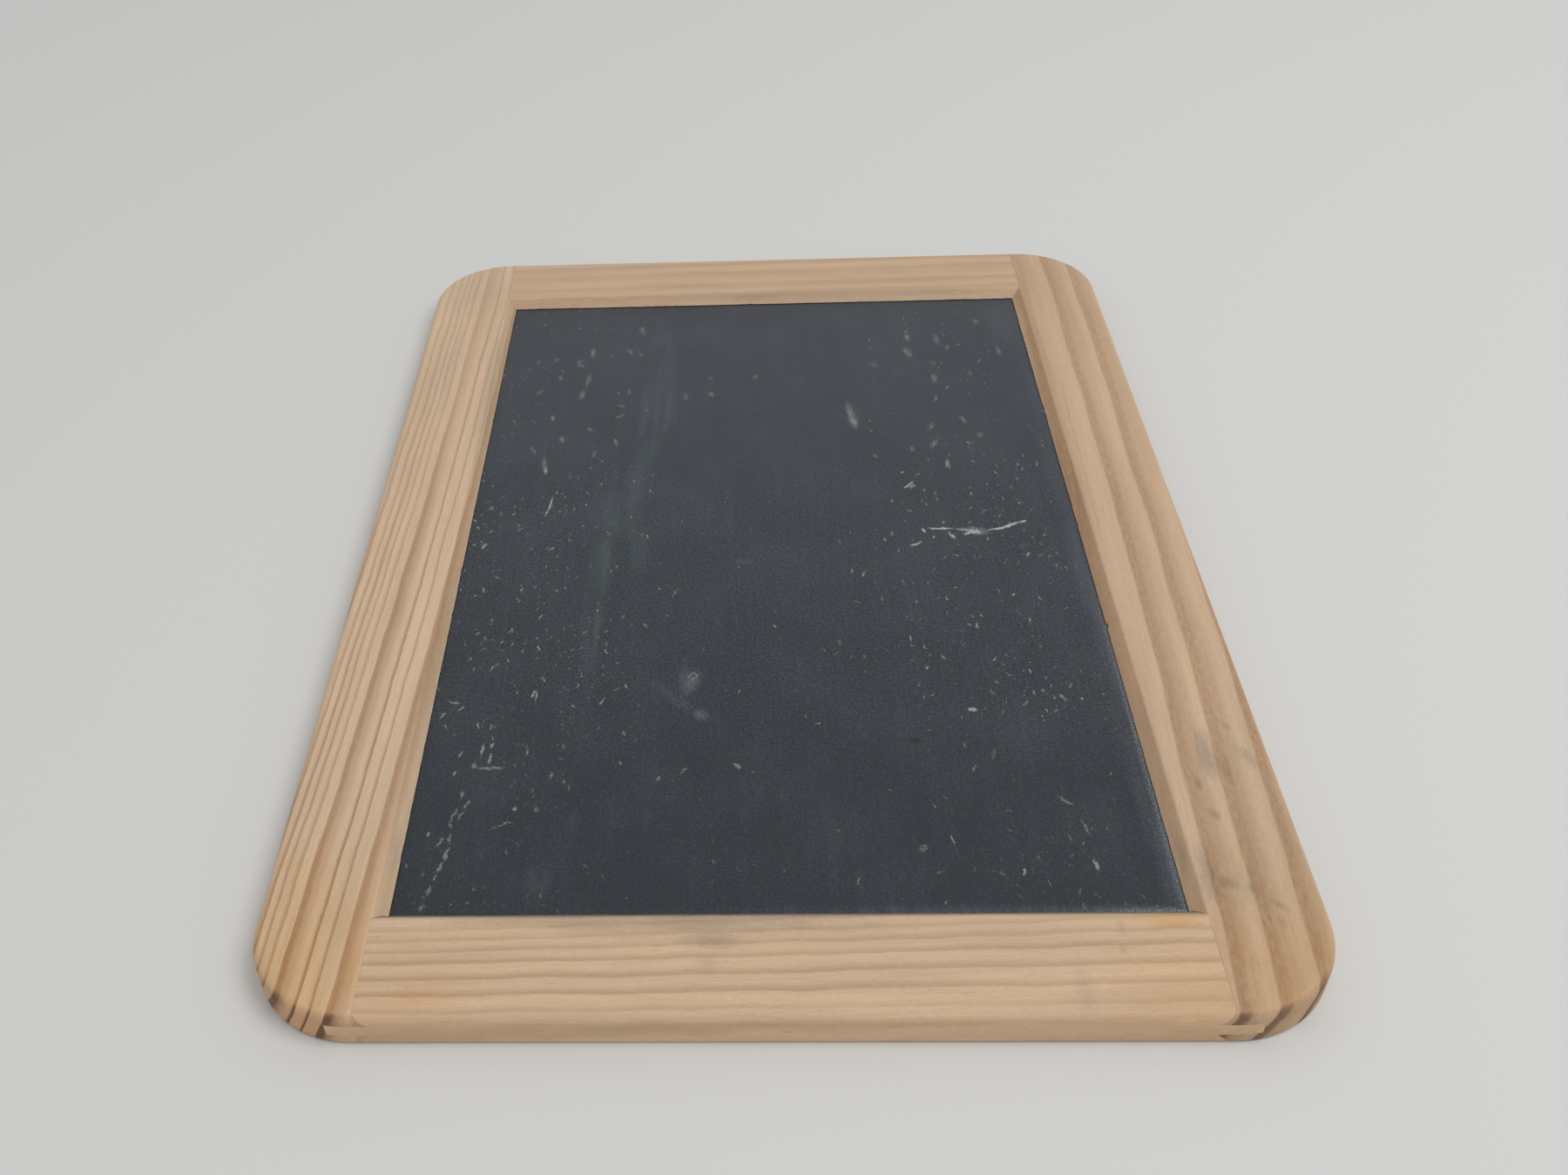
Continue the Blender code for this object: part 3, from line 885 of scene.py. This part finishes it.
def remove_guides(guides):
    """Delete the cutting guides, which are no pieces of the board."""
    for guide in guides:
        mesh = guide.data
        bpy.data.objects.remove(guide)
        bpy.data.meshes.remove(mesh)


def stick_coordinates(bench, stick):
    """Millimetres along a stick, inwards from its outer edge and down from the writing face.

    The last of the four is the place along the stick as a share of its half length.
    """
    x, y, z = bench.split(bench.millimetres())
    along, across, length, breadth = x, y, BOARD_SIZE.x, BOARD_SIZE.y
    if stick.axis == "Y":
        along, across, length, breadth = y, x, BOARD_SIZE.y, BOARD_SIZE.x
    inward = bench.scaled(across, float(stick.inward), breadth / 2 * PER_MILLIMETRE)
    depth = bench.minus(BOARD_HIGH.z * PER_MILLIMETRE, z)
    share = bench.times(along, 1 / (length / 2 * PER_MILLIMETRE))
    return along, inward, depth, share


def figure(bench, kind, along, across, depth, seed):
    """A noise that is drawn out along a stick."""
    place = bench.vector(bench.times(along, kind.along), bench.scaled(across, kind.across, seed),
                         bench.times(depth, kind.down))
    return bench.noise(place, 1.0, kind.detail, kind.roughness)


def ring_place(bench, grain, width, along, across, depth, share):
    """Where a point lies among the rings: its place across the writing face at mid-length."""
    slope = bench.scaled(across, grain.fan, grain.slope - grain.fan * width / 2)
    shift = bench.times(share, bench.scaled(share, grain.bow, slope))
    shift = bench.scaled(depth, grain.lean, shift)
    waver = Figure(1 / grain.ripple_length, RIPPLE_PITCH, RIPPLE_PITCH, RIPPLE_DETAIL)
    swing = bench.minus(figure(bench, waver, along, across, depth, grain.seed), NOISE_MEAN)
    return bench.scaled(swing, RIPPLE_GAIN * grain.ripple, bench.minus(across, shift))


def ring_lines(bench, place, grain):
    """Latewood from 0 to 1: each ring is sharp on one side and fades on the other.

    A long fade falls quickly at first, to a shoulder, and then slowly.
    """
    low, high = -6.0, 28.0
    long_fade, shoulder_run, shoulder_depth = 2.0, 0.35, 0.5
    stops = []
    for spot, body, fade, depth in grain.rings:
        stops.append((spot - math.copysign(grain.edge, fade), 0.0))
        stops.append((spot, depth))
        if body:
            stops.append((spot + body, depth))
        if abs(fade) > long_fade:
            stops.append((spot + body + shoulder_run * fade, shoulder_depth * depth))
        stops.append((spot + body + fade, 0.0))
    stops.sort()
    ramp = bench.add("ValToRGB", {"Fac": bench.fit(place, low, high, shape="LINEAR")})
    ramp.color_ramp.interpolation = "EASE"
    points = ramp.color_ramp.elements
    while len(points) > 1:
        points.remove(points[-1])
    points[0].position = 0.0
    points[0].color = (0, 0, 0, 1)
    for spot, depth in stops:
        point = points.new((spot - low) / (high - low))
        point.color = (depth, depth, depth, 1)
    return ramp.outputs["Color"]


def resin_line(bench, streak, place, along):
    """A thin dark line that runs with the rings for part of the stick's length."""
    spot, half_width, start, end, strength = streak
    away = bench.math("ABSOLUTE", bench.minus(place, spot))
    line = bench.fit(away, half_width, 0.0, 0.0, strength)
    run = bench.times(bench.fit(along, start, start + STREAK_TAPER),
                      bench.fit(along, end, end - STREAK_TAPER))
    return bench.times(line, run)


def soft_patches(bench, along, across, patches, breakup):
    """Soft-edged patches, broken up by a noise: the strongest of them at each point."""
    cover = 0.0
    for place, inward, half_length, half_width, turn, strength in patches:
        cosine = math.cos(math.radians(turn))
        slant = math.tan(math.radians(turn))
        run = bench.minus(along, place)
        side = bench.minus(across, inward)
        u = bench.times(bench.scaled(side, slant, run), cosine / half_length)
        v = bench.times(bench.scaled(run, -slant, side), cosine / half_width)
        distance = bench.math("SQRT", bench.scaled(u, u, bench.times(v, v)))
        ragged = bench.minus(distance, PATCH_RAGGED * NOISE_MEAN)
        ragged = bench.scaled(breakup, PATCH_RAGGED, ragged)
        cover = bench.most(cover, bench.fit(ragged, PATCH_REACH, 0.0, 0.0, strength))
    return cover


def pine_material(stick, width, finish):
    """Bare pine whose rings run through the stick, so that its ends show the same rings."""
    material, bench, shader = new_material(stick.name + "_pine")
    along, across, depth, share = stick_coordinates(bench, stick)
    grain, tints = stick.grain, stick.tints
    place = ring_place(bench, grain, width * PER_MILLIMETRE, along, across, depth, share)
    late = ring_lines(bench, place, grain)
    late = bench.times(late, bench.fit(share, -1.0, 1.0, *grain.contrast, shape="LINEAR"))

    # Fibres, dashes and dots follow the rings, and pores follow the stick
    fibre = figure(bench, FIBRES, along, place, depth, grain.seed)
    pores = figure(bench, PORES, along, across, depth, grain.seed)
    dashes = figure(bench, DASHES, along, place, depth, grain.seed * 3)
    dots = figure(bench, DOTS, along, place, depth, grain.seed * 5)
    broad = figure(bench, BROAD_TONE, along, place, depth, grain.seed)

    # The rings break up along the fibres and into dots
    frayed = bench.fit(fibre, 0.25, 0.75, 0.75, 1.1, "LINEAR")
    dotted = bench.fit(dots, 0.25, 0.75, 1 - grain.mottle / 2, 1 + grain.mottle / 2, "LINEAR")
    rings = bench.times(bench.times(late, frayed), dotted)
    colour = bench.blend(rings, finish.earlywood, finish.latewood)
    dark_lines = [
        bench.fit(fibre, 0.3, 0.7, 0.20, 0.0),
        bench.fit(pores, 0.3, 0.7, 0.20, 0.0),
        bench.fit(dashes, 0.72, 0.84, 0.0, 0.35),
    ]
    dark_lines += [resin_line(bench, streak, place, along) for streak in grain.streaks]
    for line in dark_lines:
        colour = bench.blend(line, colour, finish.latewood)
    tone = bench.fit(broad, 0.3, 0.7, 0.94, 1.10, "LINEAR")
    colour = bench.blend(1.0, colour, bench.vector(tone, tone, tone), "MULTIPLY")
    colour = bench.blend(1.0, colour, (*tints.wood, 1.0), "MULTIPLY")

    # Cut ends drink in dirt, and only the hard side of a ring stays dark there
    normal = bench.split(bench.add("NewGeometry", {}).outputs["Normal"])
    facing = bench.math("ABSOLUTE", normal[stick.axis])
    end_colour = bench.blend(1.0, colour, (*tints.end, 1.0), "MULTIPLY")
    hard = bench.fit(late, 0.3, 0.9, 0.0, 0.68)
    end_colour = bench.blend(hard, end_colour, finish.end_late)
    colour = bench.blend(bench.fit(facing, *END_FACING), colour, end_colour)

    # Bevels darkened partly by painted shade and partly by dust, a tint along the outer edge, and
    # chalk, slate dust and resin in the wood
    dust = bench.times(figure(bench, DUST, along, across, depth, grain.seed), DUST_SHARE)
    specks = figure(bench, DUST_SPECKS, along, across, depth, grain.seed)
    dust = bench.scaled(specks, 1 - DUST_SHARE, dust)
    stains = (
        (bench.fit(across, *tints.bevel_span), (*tints.bevel, 1.0)),
        (bench.fit(across, *tints.outer_span), (*tints.outer, 1.0)),
        (soft_patches(bench, along, across, tints.soil, dust), finish.soil),
        (soft_patches(bench, along, across, tints.resin, dust), finish.resin),
    )
    for cover, tint in stains:
        colour = bench.blend(cover, colour, tint, "MULTIPLY")

    rough = bench.fit(fibre, 0.2, 0.8, finish.roughness - 0.06, finish.roughness + 0.08, "LINEAR")
    relief = bench.scaled(late, RING_RELIEF, fibre)
    dress(bench, shader, colour, rough, relief, PINE_BUMP, PINE_SPECULAR)
    return material


def chalk_stroke_group():
    """A node group for one chalk mark: an ellipse that can be turned, bowed, soft and hollow.

    Side and Run point across and along the stroke, over its half width and half length. Core is
    the share of the mark that is at full strength.
    """
    tree = bpy.data.node_groups.new("chalk_stroke", "ShaderNodeTree")
    for name in ("Place", "Centre", "Side", "Run"):
        tree.interface.new_socket(name, in_out="INPUT", socket_type="NodeSocketVector")
    for name in ("Bow", "Strength", "Core", "Hollow"):
        tree.interface.new_socket(name, in_out="INPUT", socket_type="NodeSocketFloat")
    tree.interface.new_socket("Mark", in_out="OUTPUT", socket_type="NodeSocketFloat")
    bench = Bench(tree)
    given = tree.nodes.new("NodeGroupInput").outputs
    offset = bench.move("SUBTRACT", given["Place"], given["Centre"])
    along = bench.move("DOT_PRODUCT", offset, given["Run"], result="Value")
    squared = bench.times(along, along)
    across = bench.move("DOT_PRODUCT", offset, given["Side"], result="Value")
    across = bench.minus(across, bench.times(given["Bow"], squared))
    distance = bench.math("SQRT", bench.scaled(across, across, squared))
    solid = bench.fit(distance, 1.0, given["Core"])
    hole = bench.times(bench.fit(distance, *HOLE_RIM), given["Hollow"])
    mark = bench.times(bench.minus(solid, bench.times(solid, hole)), given["Strength"])
    bench.fill(tree.nodes.new("NodeGroupOutput"), {"Mark": mark})
    return tree


def strokes(bench, group, place, marks, core=0.0):
    """Marks drawn with the group: the strength of the strongest at each point.

    A wiped film or a smear has no core.
    """
    cover = 0.0
    for mark in (Mark(*numbers) for numbers in marks):
        upright = Matrix.Rotation(math.radians(mark.turn), 3, "Z")
        inputs = {
            "Place": place, "Centre": (mark.x, mark.y, 0.0),
            "Side": upright @ Vector((1 / mark.half_width, 0.0, 0.0)),
            "Run": upright @ Vector((0.0, 1 / mark.half_length, 0.0)),
            "Bow": mark.bow * mark.half_length ** 2 / mark.half_width,
            "Strength": mark.strength, "Core": core, "Hollow": mark.hollow,
        }
        stroke = bench.add("Group", inputs, node_tree=group)
        cover = bench.most(cover, stroke.outputs["Mark"])
    return cover


def flecks(bench, place, kind, density):
    """Scattered short, bowed flecks of chalk. Fractions of a cell's numbers are further draws."""
    scaled = bench.move("MULTIPLY", place, (1 / kind.cell,) * 3)
    cells = bench.add("TexVoronoi", {"Vector": scaled, "Scale": 1.0, "Randomness": 1.0},
                      voronoi_dimensions="2D")
    chance, turn, size = bench.split(cells.outputs["Color"])
    offset = bench.move("SUBTRACT", scaled, cells.outputs["Position"])
    offset = bench.move("MULTIPLY", offset, (kind.cell,) * 3)
    angle = bench.spread(turn, -FLECK_TURN, FLECK_TURN)
    turned = bench.add("VectorRotate", {"Vector": offset, "Angle": angle}, rotation_type="Z_AXIS")
    x, y, _ = bench.split(turned.outputs[0])
    bow = bench.spread(bench.math("FRACT", bench.times(turn, 7.0)), -FLECK_BOW, FLECK_BOW)
    bowed = bench.minus(x, bench.times(bow, bench.times(y, y)))
    scale = bench.spread(size, *FLECK_SCALES)
    u = bench.math("DIVIDE", bowed, bench.times(scale, kind.half_width))
    v = bench.math("DIVIDE", y, bench.times(scale, kind.half_length))
    distance = bench.math("SQRT", bench.plus(bench.times(u, u), bench.times(v, v)))
    shape = bench.fit(distance, 1.0, FLECK_CORE)
    kept = bench.fit(bench.minus(density, chance), 0.0, FLECK_FADE, shape="LINEAR")
    bright = bench.spread(bench.math("FRACT", bench.times(size, 5.0)), *FLECK_LIGHT)
    return bench.times(bench.times(bench.times(shape, kept), bright), kind.strength)


class SlateFace(NamedTuple):
    """What the steps of the slate's finish share: its places, the stone's noises and the stroke.

    Flat is the place on the face, and on the back it lies far off, where there is no mark. Front
    is 1 on the writing face. Broken is how the tooth and the wiping break up a film.
    """

    x: bpy.types.NodeSocket
    y: bpy.types.NodeSocket
    front: bpy.types.NodeSocket
    flat: bpy.types.NodeSocket
    tooth: bpy.types.NodeSocket
    wiped: bpy.types.NodeSocket
    fine_wipe: bpy.types.NodeSocket
    broken: bpy.types.NodeSocket
    stroke: bpy.types.NodeTree


def upright_streaks(bench, flat, streaks):
    """A noise that is drawn out along the board."""
    across, along, layer, detail = streaks
    drawn_out = bench.move("MULTIPLY_ADD", flat, (across, along, 0.0), (0.0, 0.0, layer))
    return bench.noise(drawn_out, 1.0, detail, STREAK_ROUGHNESS)


def slate_face(bench):
    """The places on the slab's two faces, and what breaks up the chalk on them."""
    stroke = chalk_stroke_group()
    x, y, z = bench.split(bench.millimetres())
    front = bench.math("GREATER_THAN", z, (SLAB_LOW.z + SLAB_HIGH.z) / 2 * PER_MILLIMETRE)
    back = bench.minus(1.0, front)
    away_x, away_y = BACK_STEP
    flat = bench.vector(bench.scaled(back, away_x, x), bench.scaled(back, away_y, y))
    tooth = bench.noise(flat, *TOOTH)
    wiped = upright_streaks(bench, flat, WIPING)
    fine_wipe = upright_streaks(bench, flat, FINE_WIPING)
    broken = bench.times(bench.fit(wiped, 0.30, 0.70, 0.25, 1.35, "LINEAR"),
                         bench.fit(tooth, 0.30, 0.70, 0.5, 1.4, "LINEAR"))
    return SlateFace(x, y, front, flat, tooth, wiped, fine_wipe, broken, stroke)


def zone(bench, face, spans):
    """A zone of the slate with soft edges: a span across the board times a span along it."""
    across, along = spans
    return bench.times(bench.fit(face.x, *across), bench.fit(face.y, *along))


def wiped_film_and_reflection(bench, face):
    """How much chalk is left in the stone after the wiping, and a lightening towards the top rail,
    partly chalk film and partly painted reflection.
    """
    mottle = bench.noise(face.flat, *MOTTLE)
    # Lighter towards the top rail: partly chalk film and partly painted reflection
    film = bench.fit(face.y, *FILM_AND_REFLECTION_RISE, shape="LINEAR")
    film = bench.plus(film, bench.fit(mottle, 0.35, 0.7, -0.04, 0.15))
    film = bench.plus(film, bench.fit(face.wiped, 0.45, 0.75, 0.0, 0.12))
    film = bench.plus(film, bench.fit(face.fine_wipe, 0.35, 0.75, -0.08, 0.16, "LINEAR"))
    # The tooth shows most across the middle, where the face is rubbed most
    rubbed = bench.times(bench.fit(face.y, *RUBBED_FAR), bench.fit(face.y, *RUBBED_NEAR))
    grit = bench.fit(face.tooth, 0.30, 0.75, -0.40, 0.66, "LINEAR")
    film = bench.plus(film, bench.scaled(bench.minus(grit, GRIT_MEAN), rubbed, GRIT_MEAN))
    # Soft films, and dust that the wiping pushed against the right and bottom lips
    soft = strokes(bench, face.stroke, face.flat, WHITE_FILMS)
    dust = bench.most(zone(bench, face, RIGHT_DUST), zone(bench, face, BOTTOM_DUST))
    return bench.plus(film, bench.times(bench.most(soft, dust), face.broken))


def chalk_flecks(bench, face, place):
    """Flecks of every size, denser towards the sides, in patches and in upright chains."""
    patches = bench.fit(bench.noise(face.flat, *FLECK_PATCHES), 0.38, 0.66, 0.1, 1.0)
    chains = bench.fit(upright_streaks(bench, face.flat, FLECK_CHAINS), 0.50, 0.66)
    sides = bench.fit(bench.math("ABSOLUTE", face.x), *FLECKS_ASIDE)
    density = bench.times(sides, bench.most(patches, chains))
    density = bench.times(density, bench.fit(face.y, *FLECKS_FAR))
    cover = 0.0
    for kind in FLECK_SIZES:
        stepped = bench.move("ADD", place, kind.step)
        cover = bench.most(cover, flecks(bench, stepped, kind, bench.times(density, kind.share)))
    return bench.times(cover, bench.fit(face.y, *FLECKS_NEAR))


def chalk_cover(bench, face, place):
    """How much white chalk lies on the stone: flecks, the marks of use, heaped dust and smears."""
    chalk = chalk_flecks(bench, face, place)
    chalk = bench.most(chalk, strokes(bench, face.stroke, place, CHALK_MARKS, MARK_CORE))
    heaps = bench.most(zone(bench, face, RIGHT_HEAP), zone(bench, face, CORNER_HEAP))
    chalk = bench.most(chalk, heaps)
    # Chalk catches on the stone's tooth, so that a faint mark breaks up
    crumb = bench.noise(face.flat, *CRUMBS)
    caught = bench.scaled(bench.minus(crumb, NOISE_MEAN), CRUMB_WEIGHT,
                          bench.times(chalk, CHALK_WEIGHT))
    faint = bench.math("POWER", chalk, CHALK_POWER)
    chalk = bench.times(bench.fit(caught, 0.0, CAUGHT_WHOLE), faint)
    # Smears are feathered by the wiping
    feathered = bench.times(bench.fit(face.fine_wipe, 0.36, 0.64, 0.35, 1.25, "LINEAR"),
                            bench.fit(crumb, 0.35, 0.65, 0.25, 0.62, "LINEAR"))
    smears = bench.times(strokes(bench, face.stroke, place, SMEARS), feathered)
    return bench.times(bench.most(chalk, smears), bench.spread(face.front, BACK_CHALK, 1.0))


def slate_material(finish):
    """Honed slate with wiped chalk films, flecks and the marks of use on its writing face."""
    material, bench, shader = new_material("chalked_slate")
    face = slate_face(bench)
    film = wiped_film_and_reflection(bench, face)
    # The film colour also carries the painted reflection towards the top rail
    colour = bench.blend(film, finish.stone, finish.film)
    green = bench.times(strokes(bench, face.stroke, face.flat, GREEN_FILMS), face.broken)
    colour = bench.blend(bench.times(green, GREEN_STRENGTH), colour, finish.green_film)

    # The outlines of marks and flecks wander a little over the rough stone
    wander = bench.noise(face.flat, *WANDER_NOISE, result="Color")
    wander = bench.move("SUBTRACT", wander, (NOISE_MEAN,) * 3)
    jittered = bench.move("MULTIPLY_ADD", wander, (WANDER, WANDER, 0.0), face.flat)
    chalk = chalk_cover(bench, face, jittered)
    dark = strokes(bench, face.stroke, jittered, DARK_SPOTS)
    colour = bench.blend(dark, colour, finish.dark)
    colour = bench.blend(chalk, colour, finish.chalk)

    rough = bench.fit(film, 0.0, 0.8, finish.roughness, finish.roughness + 0.12, "LINEAR")
    relief = bench.scaled(face.fine_wipe, WIPE_RELIEF, face.tooth)
    dress(bench, shader, colour, rough, relief, SLATE_BUMP, SLATE_SPECULAR)
    return material


def floor_material(settings):
    """A plain pale matt floor."""
    material, bench, shader = new_material("pale_floor")
    bench.fill(shader, {"Base Color": settings.floor, "Roughness": 0.9, "Specular IOR Level": 0.1})
    return material


def build_sticks(scene, sticks, width, length, clear, cuts):
    """Make like sticks, trim them with the guides, give them their pine and hide the parts they
    replace.
    """
    for stick in sticks:
        item = moulded_stick(scene.slate_frame, stick, width, length, clear)
        carve(item, cuts)
        declare(item, pine_material(stick, width, scene.slate_pine), stick.node)
    remove_guides(guide for guide, _ in cuts)


class SLATEBOARD_OT_stiles(bpy.types.Operator):
    """Build the two long sticks of the frame"""

    bl_idname = "slateboard.stiles"
    bl_label = "Build Stiles"

    def execute(self, context):
        cuts = [(board_blank(context.scene.slate_frame), "INTERSECT")]
        length = BOARD_SIZE.y + 2 * TRIM_WASTE
        clear = BOARD_SIZE.y / 2 - RAIL_WIDTH
        build_sticks(context.scene, STILES, STILE_WIDTH, length, clear, cuts)
        return {"FINISHED"}


class SLATEBOARD_OT_rails(bpy.types.Operator):
    """Build the two short sticks, with a tongue at each end"""

    bl_idname = "slateboard.rails"
    bl_label = "Build Rails"

    def execute(self, context):
        sizes = context.scene.slate_frame
        blank = board_blank(sizes)
        cuts = [(cope_cutter(sizes, stick), "DIFFERENCE") for stick in STILES]
        cuts.append((blank, "INTERSECT"))
        groove_floor = STILE_WIDTH - sizes.groove_depth
        length = BOARD_SIZE.x - 2 * groove_floor + TRIM_WASTE
        clear = BOARD_SIZE.x / 2 - STILE_WIDTH
        build_sticks(context.scene, RAILS, RAIL_WIDTH, length, clear, cuts)
        return {"FINISHED"}


class SLATEBOARD_OT_slab(bpy.types.Operator):
    """Build the slab of slate that lies in the grooves"""

    bl_idname = "slateboard.slab"
    bl_label = "Build Slab"

    def execute(self, context):
        finish = context.scene.slate_stone
        shape = bmesh.new()
        bmesh.ops.create_grid(shape, x_segments=round(SLAB_SIZE.x / finish.grid),
                              y_segments=round(SLAB_SIZE.y / finish.grid), size=0.5)
        bmesh.ops.scale(shape, verts=shape.verts, vec=(SLAB_SIZE.x, SLAB_SIZE.y, 1))
        extrude_up(shape, list(shape.faces), (0, 0, SLAB_SIZE.z))
        bmesh.ops.recalc_face_normals(shape, faces=shape.faces)
        centre = (SLAB_LOW + SLAB_HIGH) / 2
        corner = Vector((centre.x, centre.y, SLAB_LOW.z))
        bmesh.ops.translate(shape, verts=shape.verts, vec=corner)
        for vert in shape.verts:
            wave = sum(share * noise.noise(vert.co * pitch) for pitch, share in STONE_WAVES)
            inwards = -1 if vert.co.z > centre.z else 1
            vert.co.z += inwards * finish.undulation * (1 + wave) / 2
        item = new_object("slate_slab", shape)
        shade(item)
        declare(item, slate_material(finish), "slate_panel")
        return {"FINISHED"}


class SLATEBOARD_OT_stage(bpy.types.Operator):
    """Lay the pale floor, hang the soft light and set up the camera"""

    bl_idname = "slateboard.stage"
    bl_label = "Set Stage"

    def execute(self, context):
        settings = context.scene.slate_stage
        self.lay_floor(settings)
        self.hang_lights(context.scene, settings)
        self.set_camera(context.scene)
        context.scene.view_settings.view_transform = "Standard"
        return {"FINISHED"}

    def lay_floor(self, settings):
        shape = bmesh.new()
        bmesh.ops.create_grid(shape, x_segments=1, y_segments=1, size=settings.floor_size / 2)
        bmesh.ops.translate(shape, verts=shape.verts, vec=(0, 0, BOARD_LOW.z - FLOOR_GAP))
        floor = new_object("floor", shape)
        floor.data.materials.append(floor_material(settings))

    def hang_lights(self, scene, settings):
        world = bpy.data.worlds.new("soft_dome")
        world.use_nodes = True
        dome = world.node_tree.nodes["Background"].inputs
        dome["Color"].default_value = (1, 1, 1, 1)
        dome["Strength"].default_value = settings.dome
        scene.world = world
        light = bpy.data.lights.new("soft_key", "AREA")
        light.energy = settings.key_power
        light.size = settings.key_size
        key = bpy.data.objects.new("soft_key", light)
        key.location = settings.key_place
        key.rotation_euler = (-Vector(settings.key_place)).to_track_quat("-Z", "Y").to_euler()
        scene.collection.objects.link(key)

    def set_camera(self, scene):
        lens = bpy.data.cameras.new("camera")
        lens.sensor_width = SENSOR_WIDTH
        lens.lens = LENS_LENGTH
        lens.shift_x = LENS_SHIFT
        lens.clip_start = NEAR_CLIP
        camera = bpy.data.objects.new("camera", lens)
        matrix = Matrix.Translation(CAMERA_PLACE)
        for angle, axis in CAMERA_TURNS:
            matrix = matrix @ Matrix.Rotation(math.radians(angle), 4, axis)
        camera.matrix_world = matrix
        scene.collection.objects.link(camera)
        scene.camera = camera


class SLATEBOARD_PT_panel(bpy.types.Panel):
    """Buttons and sizes of the school slate"""

    bl_idname = "SLATEBOARD_PT_panel"
    bl_label = "School Slate"
    bl_space_type = "VIEW_3D"
    bl_region_type = "UI"
    bl_category = "School Slate"

    def draw(self, context):
        for operator in OPERATORS:
            self.layout.operator(operator.bl_idname)
        for name in SETTINGS:
            group = getattr(context.scene, name)
            box = self.layout.box()
            for entry in group.__annotations__:
                box.prop(group, entry)


SETTINGS = {
    "slate_frame": FrameSizes,
    "slate_pine": PineFinish,
    "slate_stone": SlateFinish,
    "slate_stage": StageSettings,
}
OPERATORS = (SLATEBOARD_OT_stiles, SLATEBOARD_OT_rails, SLATEBOARD_OT_slab, SLATEBOARD_OT_stage)
CLASSES = tuple(SETTINGS.values()) + OPERATORS + (SLATEBOARD_PT_panel,)


def register():
    for item in CLASSES:
        bpy.utils.register_class(item)
    for name, group in SETTINGS.items():
        setattr(bpy.types.Scene, name, PointerProperty(type=group))


def unregister():
    for name in SETTINGS:
        delattr(bpy.types.Scene, name)
    for item in reversed(CLASSES):
        bpy.utils.unregister_class(item)


def main():
    register()
    bpy.ops.slateboard.stiles()
    bpy.ops.slateboard.rails()
    bpy.ops.slateboard.slab()
    bpy.ops.slateboard.stage()


if __name__ == "__main__":
    main()
